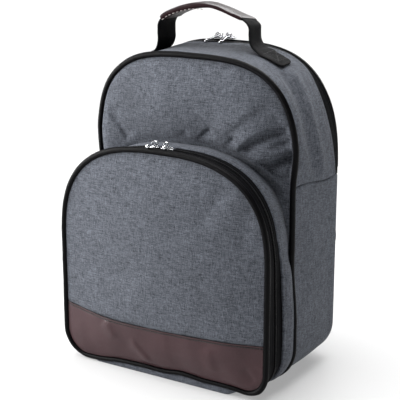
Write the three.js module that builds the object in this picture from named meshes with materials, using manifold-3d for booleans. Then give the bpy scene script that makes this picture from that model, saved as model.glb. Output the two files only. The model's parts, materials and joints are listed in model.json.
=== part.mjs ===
// Picnic backpack, standing and zipped shut, in millimetres, +Z up, its front facing -Y.
import * as THREE from 'three';
import { mergeVertices } from 'three/addons/utils/BufferGeometryUtils.js';
import Module from 'manifold-3d';

const wasm = await Module();
wasm.setup();

// Clearance between pieces that are sewn or clipped together
const GAP = 0.3;

// Wall thicknesses
const CLOTH = 2;
const TAPE = 1.6;
const BACK_PADDING = 8;

// Arched outlines: the sides stand straight up to the spring line, then close in a superellipse
const MAIN_FRONT = {
  halfWidth: 138, height: 377.5, spring: 218, power: 3.25, foot: 5, corner: 44, shift: 0, pinch: 5,
};
const MAIN_BACK = {
  halfWidth: 138.5, height: 384, spring: 218, power: 3, foot: 5, corner: 44, shift: 0, pinch: 0,
};
const POCKET_FRONT = {
  halfWidth: 141, height: 272, spring: 151, power: 2.6, foot: 7, corner: 31, shift: -7, pinch: 0,
};
const POCKET_BACK = {
  halfWidth: 134, height: 274, spring: 151, power: 2.6, foot: 9, corner: 40, shift: 0, pinch: 5,
};
const PINCH_HEIGHTS = { low: 75, lowFull: 150, highFull: 235, high: 290 };

// Depths along Y, from the main front seam at zero
const MAIN_DEPTH = 100;
const POCKET_DEPTH = 58;
const BACK_ROUNDING = 9.5;
const BACK_INSET = 14;
const PIPING_RADIUS = 3.2;

// Side seams between the upper and the lower band of the main compartment
const SEAM_FRONT_HEIGHT = 235;
const SEAM_BACK_HEIGHT = 227;

// Fullness of the cloth walls
const MAIN_CROWN_SHARE = 0.1;
const POCKET_CROWN = 16;
const BACK_CROWN = 6;
const SIDE_FULLNESS = 1.5;

// Soft trough along the upper band: share of its width behind the piping, and lift off the outline
const TROUGH = [
  { at: 0, lift: 0 },
  { at: 0.2, lift: 3.8 },
  { at: 0.38, lift: 3.4 },
  { at: 0.55, lift: 0.2 },
  { at: 0.78, lift: 2.6 },
  { at: 1, lift: 0 },
];

// The trough is shallow at the crest of the arch and runs out at the side seams
const TROUGH_FADE = { crestStrength: 0.35, from: 0.25, full: 0.5, seamFrom: 0.84 };

// Creases of the slack main front above the pocket: ends, depth and half width of each valley
const CREASES = [
  { x0: -124, z0: 308, x1: -88, z1: 266, depth: 3.2, half: 15 },
  { x0: 76, z0: 284, x1: 132, z1: 302, depth: 3, half: 14 },
  { x0: 92, z0: 262, x1: 132, z1: 272, depth: 2.6, half: 12 },
];

// Zips
const ZIP_TOP_Y = 82;
const ZIP_SEAM_Y = 98;
const ZIP_TAPER_FROM = 0.4;
const POCKET_ZIP_BACK_Y = -28;
const COIL_SHARE = 0.42;
const COIL = { half: 2.4, foot: 3.4, height: 1.4 };

// Leather-look band across the foot of the pocket: height of its upper edge from left to right
const BAND_EDGE = [
  { x: -160, z: 72 },
  { x: -80, z: 64.5 },
  { x: 0, z: 65.5 },
  { x: 70, z: 68 },
  { x: 150, z: 70 },
];

// Carrying handle across the top: webbing, sleeve and the free stretch between its sewn ends
const HANDLE = {
  y: 61, width: 38, thickness: 2.4, leftEnd: -110, leftRise: -80, rightRise: 63, rightEnd: 100,
};
const HANDLE_LOOP = [
  { x: -75.5, z: 382 },
  { x: -74.5, z: 394 },
  { x: -73, z: 406 },
  { x: -66, z: 415.5 },
  { x: -48, z: 424.5 },
  { x: -27, z: 428.5 },
  { x: -4, z: 426 },
  { x: 22, z: 419 },
  { x: 43, z: 410.5 },
  { x: 48.5, z: 401.5 },
  { x: 50, z: 391 },
  { x: 54, z: 383.5 },
];
const GRIP = { from: 0.27, to: 0.7, width: 43, thickness: 7.6 };

// Shoulder straps: centre line of the right pad, with its width, as distances behind the back panel
const PAD_LINE = [
  { x: 44, behind: 5.9, z: 352, width: 56, thickness: 8 },
  { x: 47, behind: 8.8, z: 330, width: 60, thickness: 11 },
  { x: 57, behind: 24, z: 285, width: 62, thickness: 12 },
  { x: 72, behind: 34, z: 235, width: 62, thickness: 12 },
  { x: 88, behind: 36, z: 178, width: 58, thickness: 12 },
  { x: 98, behind: 32, z: 126, width: 48, thickness: 9 },
];
const STRAP_LINE = [
  { x: 98.4, behind: 31.6, z: 124.2 },
  { x: 102, behind: 24, z: 95 },
  { x: 105.5, behind: 11.5, z: 60 },
  { x: 107.5, behind: 3.4, z: 42 },
  { x: 108.5, behind: 1.86, z: 26 },
];
const STRAP = { width: 25, thickness: 2 };
const ADJUSTER = { from: 0.03, to: 0.22, width: 34, thickness: 7 };

// Zip sliders: place along X, heading of the pull from straight ahead towards the left, and its slope
const SLIDERS = [
  { name: 'main', side: 'left', x: -23, heading: 28, slope: 11 },
  { name: 'main', side: 'right', x: -10, heading: 2, slope: 11 },
  { name: 'pocket', side: 'left', x: -26, heading: -10, slope: 2.5 },
  { name: 'pocket', side: 'right', x: -9, heading: -30, slope: 1 },
];
const SLIDER = { length: 11, width: 8.5, height: 2, corner: 2.4 };
const BAIL = { inner: 2.2, outer: 3.6, thickness: 2, lift: 2.3 };
const PULL = {
  eye: 3.2, hole: 1.6, holeEnd: 4.7, bar: 0.8, neck: 5.8, length: 20, tip: 2.1, thickness: 1.4, bead: 2.5,
};

// Finishes
const FINISH = {
  cloth: { color: 0x5d636b, roughness: 0.92, metalness: 0 },
  black: { color: 0x17171a, roughness: 0.6, metalness: 0 },
  leather: { color: 0x3b2528, roughness: 0.42, metalness: 0 },
  plastic: { color: 0x121214, roughness: 0.45, metalness: 0 },
  chrome: { color: 0xd9dadc, roughness: 0.15, metalness: 1 },
};

const smooth = THREE.MathUtils.smoothstep;
const mix = THREE.MathUtils.lerp;
const bag = new THREE.Group();

function add(name, geometry, finish, parent = bag) {
  const mesh = new THREE.Mesh(geometry, new THREE.MeshStandardMaterial(FINISH[finish]));
  mesh.name = name;
  parent.add(mesh);
  return mesh;
}

// Closed mesh from points and index triples, turned so that its faces point out
function closedMesh(points, faces) {
  const corner = new THREE.Vector3();
  const sixVolumes = faces.map(([a, b, c]) => points[a].dot(corner.crossVectors(points[b], points[c])));
  const volume = sixVolumes.reduce((sum, part) => sum + part, 0);
  const turned = volume > 0 ? faces : faces.map(([a, b, c]) => [a, c, b]);
  const geometry = new THREE.BufferGeometry().setFromPoints(points);
  geometry.setIndex(turned.flat());
  geometry.computeVertexNormals();
  return geometry;
}

// Wall between two matching grids of points, closed along its edges; a loop joins its first and last row
function wall(outer, inner, loop = false) {
  const rows = outer.length;
  const columns = outer[0].length;
  const id = (side, i, j) => (side * rows + (i % rows)) * columns + j;
  const faces = [];
  const quad = (a, b, c, d) => faces.push([a, b, c], [a, c, d]);
  const end = columns - 1;
  for (let i = 0; i < (loop ? rows : rows - 1); i += 1) {
    for (let j = 0; j < end; j += 1) {
      quad(id(0, i, j), id(0, i + 1, j), id(0, i + 1, j + 1), id(0, i, j + 1));
      quad(id(1, i, j), id(1, i, j + 1), id(1, i + 1, j + 1), id(1, i + 1, j));
    }
    quad(id(0, i, 0), id(1, i, 0), id(1, i + 1, 0), id(0, i + 1, 0));
    quad(id(0, i, end), id(0, i + 1, end), id(1, i + 1, end), id(1, i, end));
  }
  for (let j = 0; j < end && !loop; j += 1) {
    const last = rows - 1;
    quad(id(0, 0, j), id(0, 0, j + 1), id(1, 0, j + 1), id(1, 0, j));
    quad(id(0, last, j), id(1, last, j), id(1, last, j + 1), id(0, last, j + 1));
  }
  return closedMesh([...outer.flat(), ...inner.flat()], faces);
}

// Round wall from rings that run inwards from its rim to a middle point, thickened along Y
function disc(rings, middle, depth) {
  const count = rings[0].length;
  const face = [...rings.flat(), middle];
  const shift = new THREE.Vector3(0, depth, 0);
  const points = [...face, ...face.map((point) => point.clone().add(shift))];
  const onFace = (k, i) => (k < rings.length ? k * count + (i % count) : face.length - 1);
  const id = (side, k, i) => side * face.length + onFace(k, i);
  const faces = [];
  for (let i = 0; i < count; i += 1) {
    rings.forEach((ring, k) => {
      faces.push([id(0, k, i), id(0, k, i + 1), id(0, k + 1, i)]);
      faces.push([id(1, k, i), id(1, k + 1, i), id(1, k, i + 1)]);
      if (k < rings.length - 1) {
        faces.push([id(0, k, i + 1), id(0, k + 1, i + 1), id(0, k + 1, i)]);
        faces.push([id(1, k, i + 1), id(1, k + 1, i), id(1, k + 1, i + 1)]);
      }
    });
    faces.push([id(0, 0, i), id(1, 0, i), id(1, 0, i + 1)]);
    faces.push([id(0, 0, i), id(1, 0, i + 1), id(0, 0, i + 1)]);
  }
  return closedMesh(points, faces);
}

// Solid swept through matching sections; a loop has no ends, an open sweep is capped
function sweep(sections, loop = false) {
  const rows = sections.length;
  const count = sections[0].length;
  const id = (i, j) => (i % rows) * count + (j % count);
  const faces = [];
  for (let i = 0; i < (loop ? rows : rows - 1); i += 1) {
    for (let j = 0; j < count; j += 1) {
      faces.push([id(i, j), id(i + 1, j), id(i + 1, j + 1)], [id(i, j), id(i + 1, j + 1), id(i, j + 1)]);
    }
  }
  for (let j = 1; j < count - 1 && !loop; j += 1) {
    faces.push([id(0, 0), id(0, j), id(0, j + 1)]);
    faces.push([id(rows - 1, 0), id(rows - 1, j + 1), id(rows - 1, j)]);
  }
  return closedMesh(sections.flat(), faces);
}

function toSolid(geometry) {
  const bare = geometry.clone();
  bare.deleteAttribute('normal');
  bare.deleteAttribute('uv');
  const merged = mergeVertices(bare, 1e-4);
  const vertProperties = new Float32Array(merged.attributes.position.array);
  const triVerts = new Uint32Array(merged.index.array);
  return new wasm.Manifold(new wasm.Mesh({ numProp: 3, vertProperties, triVerts }));
}

function toGeometry(solid) {
  const mesh = solid.getMesh();
  const geometry = new THREE.BufferGeometry();
  geometry.setAttribute('position', new THREE.BufferAttribute(new Float32Array(mesh.vertProperties), 3));
  geometry.setIndex(new THREE.BufferAttribute(new Uint32Array(mesh.triVerts), 1));
  geometry.computeVertexNormals();
  return geometry;
}

// Points of an arch in the XZ plane, from the middle of its foot round by the right side
function archPoints({ halfWidth, height, spring, power, foot, corner, shift, pinch }) {
  const steps = 90;
  const half = [];
  for (let i = 0; i < steps; i += 1) {
    half.push([mix(0, halfWidth - corner, i / steps), foot]);
  }
  for (let i = 0; i < steps; i += 1) {
    const turn = (i / steps) * Math.PI / 2;
    half.push([halfWidth - corner + corner * Math.sin(turn), foot + corner - corner * Math.cos(turn)]);
  }
  for (let i = 0; i < steps; i += 1) {
    half.push([halfWidth, mix(foot + corner, spring, i / steps)]);
  }
  for (let i = 0; i <= steps; i += 1) {
    const turn = (i / steps) * Math.PI / 2;
    const across = i < steps ? Math.cos(turn) ** (2 / power) : 0;
    const up = Math.sin(turn) ** (2 / power);
    half.push([halfWidth * across, mix(spring, height, up)]);
  }
  const { low, lowFull, highFull, high } = PINCH_HEIGHTS;
  const drawn = half.map(([x, z]) => {
    const share = smooth(z, low, lowFull) * (1 - smooth(z, highFull, high));
    return [x * (1 - (pinch * share) / halfWidth), z];
  });
  const mirrored = drawn.slice(1, -1).reverse().map(([x, z]) => [-x, z]);
  return [...drawn, ...mirrored].map(([x, z]) => new THREE.Vector2(x + shift, z));
}

// Outline that gives a point and its outward normal at a share of the way round, closer on the bends
function outline(shape) {
  const points = archPoints(shape);
  const count = points.length;
  const bendWeight = 60;
  const point = (i) => points[(i + count) % count];
  const heading = (i) => point(i + 1).clone().sub(point(i)).angle();
  const way = [0];
  for (let i = 0; i < count; i += 1) {
    const bend = Math.abs(((heading(i + 1) - heading(i) + 3 * Math.PI) % (2 * Math.PI)) - Math.PI);
    way.push(way[i] + point(i).distanceTo(point(i + 1)) + bendWeight * bend);
  }
  const locate = (share) => {
    const target = (share - Math.floor(share)) * way[count];
    const i = Math.max(0, way.findIndex((value) => value > target) - 1);
    return { i, part: (target - way[i]) / (way[i + 1] - way[i]) };
  };
  return {
    at(share) {
      const { i, part } = locate(share);
      const position = point(i).clone().lerp(point(i + 1), part);
      const along = point(i + 2).clone().sub(point(i - 1)).normalize();
      return { position, normal: new THREE.Vector2(along.y, -along.x) };
    },
    shareWhere(test) {
      const i = points.findIndex(test);
      return way[i] / way[count];
    },
  };
}

// Body of a compartment between a front and a back outline
function compartment(front, back, frontY, backY) {
  return {
    front,
    back,
    // Point at a station, a depth and a lift off the outline
    place(station, y, lift) {
      const share = THREE.MathUtils.clamp((y - frontY) / (backY - frontY), 0, 1);
      const position = station.front.position.clone().lerp(station.back.position, share);
      const normal = station.front.normal.clone().lerp(station.back.normal, share).normalize();
      position.addScaledVector(normal, lift);
      return new THREE.Vector3(position.x, y, position.y);
    },
  };
}

// Stations at even shares between two pairs of shares on the front and the back outline
function stations(body, from, to, steps) {
  return Array.from({ length: steps + 1 }, (_, i) => ({
    share: i / steps,
    front: body.front.at(mix(from.front, to.front, i / steps)),
    back: body.back.at(mix(from.back, to.back, i / steps)),
  }));
}

// Band along the stations whose outer face follows a section of depths and lifts
function band(body, route, sectionAt, thickness) {
  const outer = [];
  const inner = [];
  route.forEach((station) => {
    const section = sectionAt(station).map(([y, lift]) => new THREE.Vector2(y, lift));
    const end = section.length - 1;
    outer.push(section.map((spot) => body.place(station, spot.x, spot.y)));
    inner.push(section.map((spot, j) => {
      const along = section[Math.min(j + 1, end)].clone().sub(section[Math.max(j - 1, 0)]).normalize();
      return body.place(station, spot.x + along.y * thickness, spot.y - along.x * thickness);
    }));
  });
  return wall(outer, inner);
}

// Piping cord round the front of a loop of stations
function piping(loop, y, radius) {
  const sides = 6;
  const sections = loop.map(({ front }) => Array.from({ length: sides }, (_, j) => {
    const turn = (j / sides) * 2 * Math.PI + Math.PI / 2;
    const spot = front.position.clone().addScaledVector(front.normal, radius * Math.cos(turn));
    return new THREE.Vector3(spot.x, y + radius * Math.sin(turn), spot.y);
  }));
  return sweep(sections, true);
}

// Main compartment

const main = compartment(outline(MAIN_FRONT), outline(MAIN_BACK), 0, MAIN_DEPTH);
const pocket = compartment(outline(POCKET_FRONT), outline(POCKET_BACK), -POCKET_DEPTH, -CLOTH / 2 - GAP);
const PANEL_INSET = PIPING_RADIUS + GAP;

const aboveSeam = {
  front: main.front.shareWhere((point) => point.y >= SEAM_FRONT_HEIGHT),
  back: main.back.shareWhere((point) => point.y >= SEAM_BACK_HEIGHT),
};
const opposite = (shares, turn) => ({ front: turn - shares.front, back: turn - shares.back });
const nudge = (shares, amount) => ({ front: shares.front + amount, back: shares.back + amount });
const SEAM_NUDGE = 0.00012;
const UPPER_STEPS = 24;
const LOWER_STEPS = 20;
const upperRoute = stations(
  main, nudge(aboveSeam, SEAM_NUDGE), nudge(opposite(aboveSeam, 1), -SEAM_NUDGE), UPPER_STEPS,
);
const lowerRoute = stations(
  main,
  nudge(opposite(aboveSeam, 1), SEAM_NUDGE),
  { front: 1 + aboveSeam.front - SEAM_NUDGE, back: 1 + aboveSeam.back - SEAM_NUDGE },
  LOWER_STEPS,
);
const mainLoop = [...upperRoute, ...lowerRoute.slice(1, -1)];

// How far a station of the upper band lies from the crest, 0 at the crest and 1 at the side seams
const fromCrest = (station) => Math.abs(2 * station.share - 1);
const zipFrontY = (station) => mix(ZIP_TOP_Y, ZIP_SEAM_Y, smooth(fromCrest(station), ZIP_TAPER_FROM, 1));
const seamLift = (y) => {
  const share = THREE.MathUtils.clamp(y / MAIN_DEPTH, 0, 1);
  return SIDE_FULLNESS * Math.sin(Math.PI * share);
};

function troughLift(share) {
  const next = Math.max(1, TROUGH.findIndex((row) => row.at >= share));
  const before = TROUGH[next - 1];
  const after = TROUGH[next];
  return mix(before.lift, after.lift, (share - before.at) / (after.at - before.at));
}

function upperLift(station, y) {
  const share = THREE.MathUtils.clamp((y - PANEL_INSET) / (zipFrontY(station) - PANEL_INSET), 0, 1);
  const crest = fromCrest(station);
  const { crestStrength, from, full, seamFrom } = TROUGH_FADE;
  const strength = mix(crestStrength, 1, smooth(crest, from, full));
  const nearSeam = smooth(crest, seamFrom, 1);
  return mix(troughLift(share) * strength, seamLift(y), nearSeam);
}

// The back edge: round the corner from the side onto the back, as depths and lifts along the way
function backTurn(way) {
  const arc = (Math.PI / 2) * BACK_ROUNDING;
  if (way <= 0) {
    return [MAIN_DEPTH + way, 0];
  }
  if (way >= arc) {
    return [MAIN_DEPTH + BACK_ROUNDING, -BACK_ROUNDING - (way - arc)];
  }
  const turn = way / BACK_ROUNDING;
  return [MAIN_DEPTH + BACK_ROUNDING * Math.sin(turn), -BACK_ROUNDING * (1 - Math.cos(turn))];
}
const BACK_TURN_LENGTH = (Math.PI / 2) * BACK_ROUNDING + BACK_INSET - BACK_ROUNDING;

function upperSection(station) {
  const stop = zipFrontY(station) - GAP / 2;
  return TROUGH.map(({ at }) => {
    const y = mix(PANEL_INSET, stop, at);
    return [y, upperLift(station, y)];
  });
}

function lowerSection(station) {
  const down = smooth(-station.front.normal.y, 0.8, 1);
  const groundFrom = 14;
  const groundTo = MAIN_DEPTH - groundFrom;
  const depths = [PANEL_INSET, groundFrom, MAIN_DEPTH / 2, groundTo, MAIN_DEPTH];
  const side = depths.map((y) => {
    const onGround = smooth(y, PANEL_INSET, groundFrom) * (1 - smooth(y, groundTo, MAIN_DEPTH));
    return [y, mix(seamLift(y), MAIN_FRONT.foot * onGround, down)];
  });
  const turns = [0.33, 0.66, 1].map((part) => backTurn(part * BACK_TURN_LENGTH));
  return [...side, ...turns];
}

function zipSection(station) {
  const begin = zipFrontY(station) + GAP / 2 - MAIN_DEPTH;
  const coil = mix(begin, BACK_TURN_LENGTH, COIL_SHARE);
  const raised = (way) => {
    const [y, lift] = backTurn(way);
    const turn = Math.min(Math.max(way, 0) / BACK_ROUNDING, Math.PI / 2);
    return [y + COIL.height * Math.sin(turn), lift + COIL.height * Math.cos(turn)];
  };
  return [
    backTurn(begin),
    backTurn(coil - COIL.foot),
    raised(coil - COIL.half),
    raised(coil + COIL.half),
    backTurn(coil + COIL.foot),
    backTurn(mix(coil + COIL.foot, BACK_TURN_LENGTH, 0.5)),
    backTurn(BACK_TURN_LENGTH),
  ];
}

add('main_upper_gusset', band(main, upperRoute, upperSection, CLOTH), 'cloth');
add('main_lower_gusset', band(main, lowerRoute, lowerSection, CLOTH), 'cloth');
add('main_zipper', band(main, upperRoute, zipSection, TAPE), 'black');
add('main_front_piping', piping(mainLoop, 0, PIPING_RADIUS), 'black');

// Rim points round the front or the back of a loop of stations, drawn in from the outline
function rim(loop, end, inset) {
  return loop.map((station) => station[end].position.clone().addScaledVector(station[end].normal, -inset));
}

function creaseDepth(x, z) {
  const spot = new THREE.Vector2(x, z);
  return CREASES.reduce((sum, { x0, z0, x1, z1, depth, half }) => {
    const start = new THREE.Vector2(x0, z0);
    const along = new THREE.Vector2(x1, z1).sub(start);
    const share = THREE.MathUtils.clamp(spot.clone().sub(start).dot(along) / along.lengthSq(), 0, 1);
    const away = spot.distanceTo(start.addScaledVector(along, share));
    return sum + depth * (1 - smooth(away, 0, half));
  }, 0);
}

// Main front: flat where the pocket is sewn on, full between the pocket and the piping
function mainFrontPanel() {
  const edge = rim(mainLoop, 'front', PANEL_INSET);
  const hub = new THREE.Vector2(0, POCKET_BACK.spring);
  const { halfWidth, height, spring, power } = POCKET_BACK;
  const clearOfPocket = 1.035;
  const narrowest = 0.95;
  const freeFrom = 0.85;
  const deepestCrease = 0.8;
  const face = -CLOTH / 2;
  const crownRows = [
    { at: 0, full: 0 },
    { at: 0.14, full: 0.55 },
    { at: 0.32, full: 0.9 },
    { at: 0.52, full: 1 },
    { at: 0.74, full: 0.75 },
    { at: 0.9, full: 0.3 },
    { at: 1, full: 0 },
  ];
  const spokes = edge.map((spot) => {
    const arm = spot.clone().sub(hub);
    const across = Math.abs(arm.x) / halfWidth;
    const up = Math.max(arm.y, 0) / (height - spring);
    const reach = (across ** power + up ** power) ** (1 / power);
    const foot = Math.min(narrowest, clearOfPocket / reach);
    return { arm, foot: arm.y > 0 ? foot : narrowest };
  });
  const rings = crownRows.map(({ at, full }) => spokes.map(({ arm, foot }) => {
    const spot = hub.clone().addScaledVector(arm, mix(1, foot, at));
    const free = 1 - smooth(foot, freeFrom, narrowest);
    const crown = MAIN_CROWN_SHARE * arm.length() * (1 - foot) * full * free;
    const crease = Math.min(creaseDepth(spot.x, spot.y), crown * deepestCrease);
    return new THREE.Vector3(spot.x, face - crown + crease, spot.y);
  }));
  rings.push(spokes.map(({ arm, foot }) => {
    const spot = hub.clone().addScaledVector(arm, 0.5 * foot);
    return new THREE.Vector3(spot.x, face, spot.y);
  }));
  return disc(rings, new THREE.Vector3(hub.x, face, hub.y), CLOTH);
}

// Full panel over an outline, crowned away from the bag
function crownedPanel(edge, shape, rimY, crown, shares, thickness) {
  const crownHeight = 0.48;
  const crownPower = 2.4;
  const hub = new THREE.Vector2(shape.shift, mix(shape.foot, shape.height, crownHeight));
  const fullness = (share) => 1 - share ** crownPower;
  const rings = shares.map((share) => edge.map((spot) => {
    const place = hub.clone().lerp(spot, share);
    return new THREE.Vector3(place.x, rimY + crown * fullness(share), place.y);
  }));
  return disc(rings, new THREE.Vector3(hub.x, rimY + crown, hub.y), thickness);
}

add('main_front_panel', mainFrontPanel(), 'cloth');
const backFace = MAIN_DEPTH + BACK_ROUNDING;
const backEdge = rim(mainLoop, 'back', BACK_INSET + GAP);
const BACK_RINGS = [1, 0.88, 0.62, 0.3];
const backPanel = crownedPanel(backEdge, MAIN_BACK, backFace, BACK_CROWN, BACK_RINGS, -BACK_PADDING);
add('main_back_panel', backPanel, 'cloth');

// Front pocket

const POCKET_STEPS = 30;
const BOTTOM_STEPS = 10;
const footEnd = (shape) => (point) => point.x - shape.shift >= shape.halfWidth - shape.corner;
const pocketCorner = {
  front: pocket.front.shareWhere(footEnd(POCKET_FRONT)),
  back: pocket.back.shareWhere(footEnd(POCKET_BACK)),
};
const pocketRoute = stations(
  pocket, nudge(pocketCorner, SEAM_NUDGE), nudge(opposite(pocketCorner, 1), -SEAM_NUDGE), POCKET_STEPS,
);
const bottomRoute = stations(
  pocket,
  nudge(opposite(pocketCorner, 1), SEAM_NUDGE),
  { front: 1 + pocketCorner.front - SEAM_NUDGE, back: 1 + pocketCorner.back - SEAM_NUDGE },
  BOTTOM_STEPS,
);
const pocketLoop = [...pocketRoute, ...bottomRoute.slice(1, -1)];
const pocketFrontY = -POCKET_DEPTH + PANEL_INSET;
const pocketBackY = -CLOTH / 2 - GAP;
const pocketCoilY = (pocketFrontY + POCKET_ZIP_BACK_Y) / 2;
const POCKET_TAPE_LIFT = 0.5;

function pocketZipSection() {
  return [
    [pocketFrontY, 0],
    [pocketCoilY - COIL.foot, POCKET_TAPE_LIFT],
    [pocketCoilY - COIL.half, POCKET_TAPE_LIFT + COIL.height],
    [pocketCoilY + COIL.half, POCKET_TAPE_LIFT + COIL.height],
    [pocketCoilY + COIL.foot, POCKET_TAPE_LIFT],
    [POCKET_ZIP_BACK_Y - GAP / 2, POCKET_TAPE_LIFT],
  ];
}

function pocketGussetSection() {
  return [
    [POCKET_ZIP_BACK_Y + GAP / 2, POCKET_TAPE_LIFT],
    [mix(POCKET_ZIP_BACK_Y, pocketBackY, 0.35), POCKET_TAPE_LIFT + SIDE_FULLNESS],
    [mix(POCKET_ZIP_BACK_Y, pocketBackY, 0.7), SIDE_FULLNESS],
    [pocketBackY, 0],
  ];
}

function pocketBottomSection(station) {
  const cornerShare = 0.22;
  const inside = smooth(station.share, 0, cornerShare) * (1 - smooth(station.share, 1 - cornerShare, 1));
  const groundFrom = -48;
  const groundTo = -12;
  const depths = [pocketFrontY, groundFrom, pocketCoilY, POCKET_ZIP_BACK_Y, groundTo, pocketBackY];
  return depths.map((y) => {
    const share = (y + POCKET_DEPTH) / (pocketBackY + POCKET_DEPTH);
    const ground = mix(POCKET_FRONT.foot, POCKET_BACK.foot, share);
    const onGround = smooth(y, pocketFrontY, groundFrom) * (1 - smooth(y, groundTo, pocketBackY));
    return [y, mix(POCKET_TAPE_LIFT, ground, inside) * onGround];
  });
}

add('pocket_zipper', band(pocket, pocketRoute, pocketZipSection, TAPE), 'black');
add('pocket_gusset', band(pocket, pocketRoute, pocketGussetSection, CLOTH), 'cloth');
add('pocket_bottom', band(pocket, bottomRoute, pocketBottomSection, CLOTH), 'cloth');
add('pocket_front_piping', piping(pocketLoop, -POCKET_DEPTH, PIPING_RADIUS), 'black');

// The pocket front is one crowned wall, parted along the upper edge of the leather-look band
const pocketEdge = rim(pocketLoop, 'front', PANEL_INSET);
const pocketFace = -POCKET_DEPTH - CLOTH / 2;
const POCKET_RINGS = [1, 0.9, 0.72, 0.46, 0.2];
const pocketWall = crownedPanel(pocketEdge, POCKET_FRONT, pocketFace, -POCKET_CROWN, POCKET_RINGS, CLOTH);

function sideOfBandEdge(reach, lift) {
  const curve = new THREE.SplineCurve(BAND_EDGE.map(({ x, z }) => new THREE.Vector2(x, z + lift)));
  const edge = curve.getPoints(12);
  const first = edge[0];
  const last = edge[edge.length - 1];
  const farSide = [new THREE.Vector2(last.x, reach), new THREE.Vector2(first.x, reach)];
  const region = new THREE.Shape([...edge, ...farSide]);
  const block = new THREE.ExtrudeGeometry(region, { depth: 2 * POCKET_DEPTH, bevelEnabled: false });
  block.rotateX(Math.PI / 2);
  return toSolid(block);
}

const pocketSolid = toSolid(pocketWall);
const abovePocketBand = pocketSolid.intersect(sideOfBandEdge(2 * POCKET_FRONT.height, GAP / 2));
const pocketBand = pocketSolid.intersect(sideOfBandEdge(-POCKET_FRONT.height, -GAP / 2));
add('pocket_front_panel', toGeometry(abovePocketBand), 'cloth');
add('pocket_base_band', toGeometry(pocketBand), 'leather');

// Carrying handle

// Point on the upper band at a given X and depth, raised off the cloth along its normal
function roofPoint(x, y, lift) {
  const route = stations(main, aboveSeam, opposite(aboveSeam, 1), 240);
  const spots = route.map((station) => ({ station, base: main.place(station, y, 0) }));
  const miss = (spot) => Math.abs(spot.base.x - x);
  const near = spots.reduce((best, spot) => (miss(spot) < miss(best) ? spot : best));
  return main.place(near.station, y, upperLift(near.station, y) + lift);
}

const SEAT = 0.9;
const handleCentre = SEAT + HANDLE.thickness / 2;

function handleCurve() {
  const onRoof = (x) => roofPoint(x, HANDLE.y, handleCentre);
  const left = [0, 0.5, 1].map((share) => onRoof(mix(HANDLE.leftEnd, HANDLE.leftRise, share)));
  const loop = HANDLE_LOOP.map(({ x, z }) => new THREE.Vector3(x, HANDLE.y, z));
  const right = [0, 0.5, 1].map((share) => onRoof(mix(HANDLE.rightRise, HANDLE.rightEnd, share)));
  return new THREE.CatmullRomCurve3([...left, ...loop, ...right], false, 'centripetal');
}

const handleLine = handleCurve();
const HANDLE_STEPS = 34;

// Frame across the handle: the strap lies across Y and its face turns with the line
function handleFrame(share) {
  const centre = handleLine.getPointAt(share);
  const along = handleLine.getTangentAt(share);
  const face = new THREE.Vector3(-along.z, 0, along.x);
  return { centre, face };
}

// Near the cloth the strap follows the slope of the band across its width
function roofTilt(centre, y) {
  const middle = roofPoint(centre.x, HANDLE.y, handleCentre);
  const liftOff = { from: 1, to: 14 };
  const near = 1 - smooth(centre.z - middle.z, liftOff.from, liftOff.to);
  return near > 0 ? near * (roofPoint(centre.x, y, handleCentre).z - middle.z) : 0;
}

function handleWebbing() {
  const shares = [-0.5, 0.15, 0.5];
  const outer = [];
  const inner = [];
  for (let i = 0; i <= HANDLE_STEPS; i += 1) {
    const { centre, face } = handleFrame(i / HANDLE_STEPS);
    const across = shares.map((share) => {
      const y = HANDLE.y + share * HANDLE.width;
      return new THREE.Vector3(centre.x, y, centre.z + roofTilt(centre, y));
    });
    outer.push(across.map((spot) => spot.clone().addScaledVector(face, HANDLE.thickness / 2)));
    inner.push(across.map((spot) => spot.clone().addScaledVector(face, -HANDLE.thickness / 2)));
  }
  return wall(outer, inner);
}

// Flat oval ring of points round a strap
function ovalRing(frame, across, width, thickness, sides) {
  const roundness = 0.55;
  return Array.from({ length: sides }, (_, j) => {
    const turn = ((j + 0.5) / sides) * 2 * Math.PI;
    const flat = (value) => Math.sign(value) * Math.abs(value) ** roundness;
    const spot = frame.centre.clone().addScaledVector(across, (flat(Math.cos(turn)) * width) / 2);
    return spot.addScaledVector(frame.face, (flat(Math.sin(turn)) * thickness) / 2);
  });
}

// Rectangular ring with the same number of points as an oval one of 12 sides
function slotRing(frame, across, width, thickness) {
  const column = [1, 1, 0.4, -0.4, -1, -1, -1, -1, -0.4, 0.4, 1, 1];
  const row = [0.3, 1, 1, 1, 1, 0.3, -0.3, -1, -1, -1, -1, -0.3];
  return column.map((share, j) => {
    const spot = frame.centre.clone().addScaledVector(across, (share * width) / 2);
    return spot.addScaledVector(frame.face, (row[j] * thickness) / 2);
  });
}

const RING_SIDES = 12;
const turnGrid = (rings) => rings[0].map((_, j) => rings.map((ring) => ring[j]));

function handleGrip() {
  const across = new THREE.Vector3(0, 1, 0);
  const from = Math.round(GRIP.from * HANDLE_STEPS);
  const to = Math.round(GRIP.to * HANDLE_STEPS);
  const frames = Array.from({ length: to - from + 1 }, (_, i) => handleFrame((from + i) / HANDLE_STEPS));
  const outer = frames.map((frame) => ovalRing(frame, across, GRIP.width, GRIP.thickness, RING_SIDES));
  const hole = { width: HANDLE.width + 2 * GAP, thickness: HANDLE.thickness + 2 * GAP };
  const inner = frames.map((frame) => slotRing(frame, across, hole.width, hole.thickness));
  return wall(turnGrid(outer), turnGrid(inner), true);
}

add('handle_webbing', handleWebbing(), 'black');
add('handle_grip', handleGrip(), 'leather');

// Shoulder straps

function strapLine(rows, mirror) {
  const points = rows.map(({ x, behind, z }) => new THREE.Vector3(mirror * x, backFace + behind, z));
  return new THREE.CatmullRomCurve3(points, false, 'centripetal');
}

function strapFrame(line, share) {
  const along = line.getTangent(share);
  const across = new THREE.Vector3(0, 1, 0).cross(along).normalize();
  const face = along.clone().cross(across).normalize();
  return { centre: line.getPoint(share), across, face };
}

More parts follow.
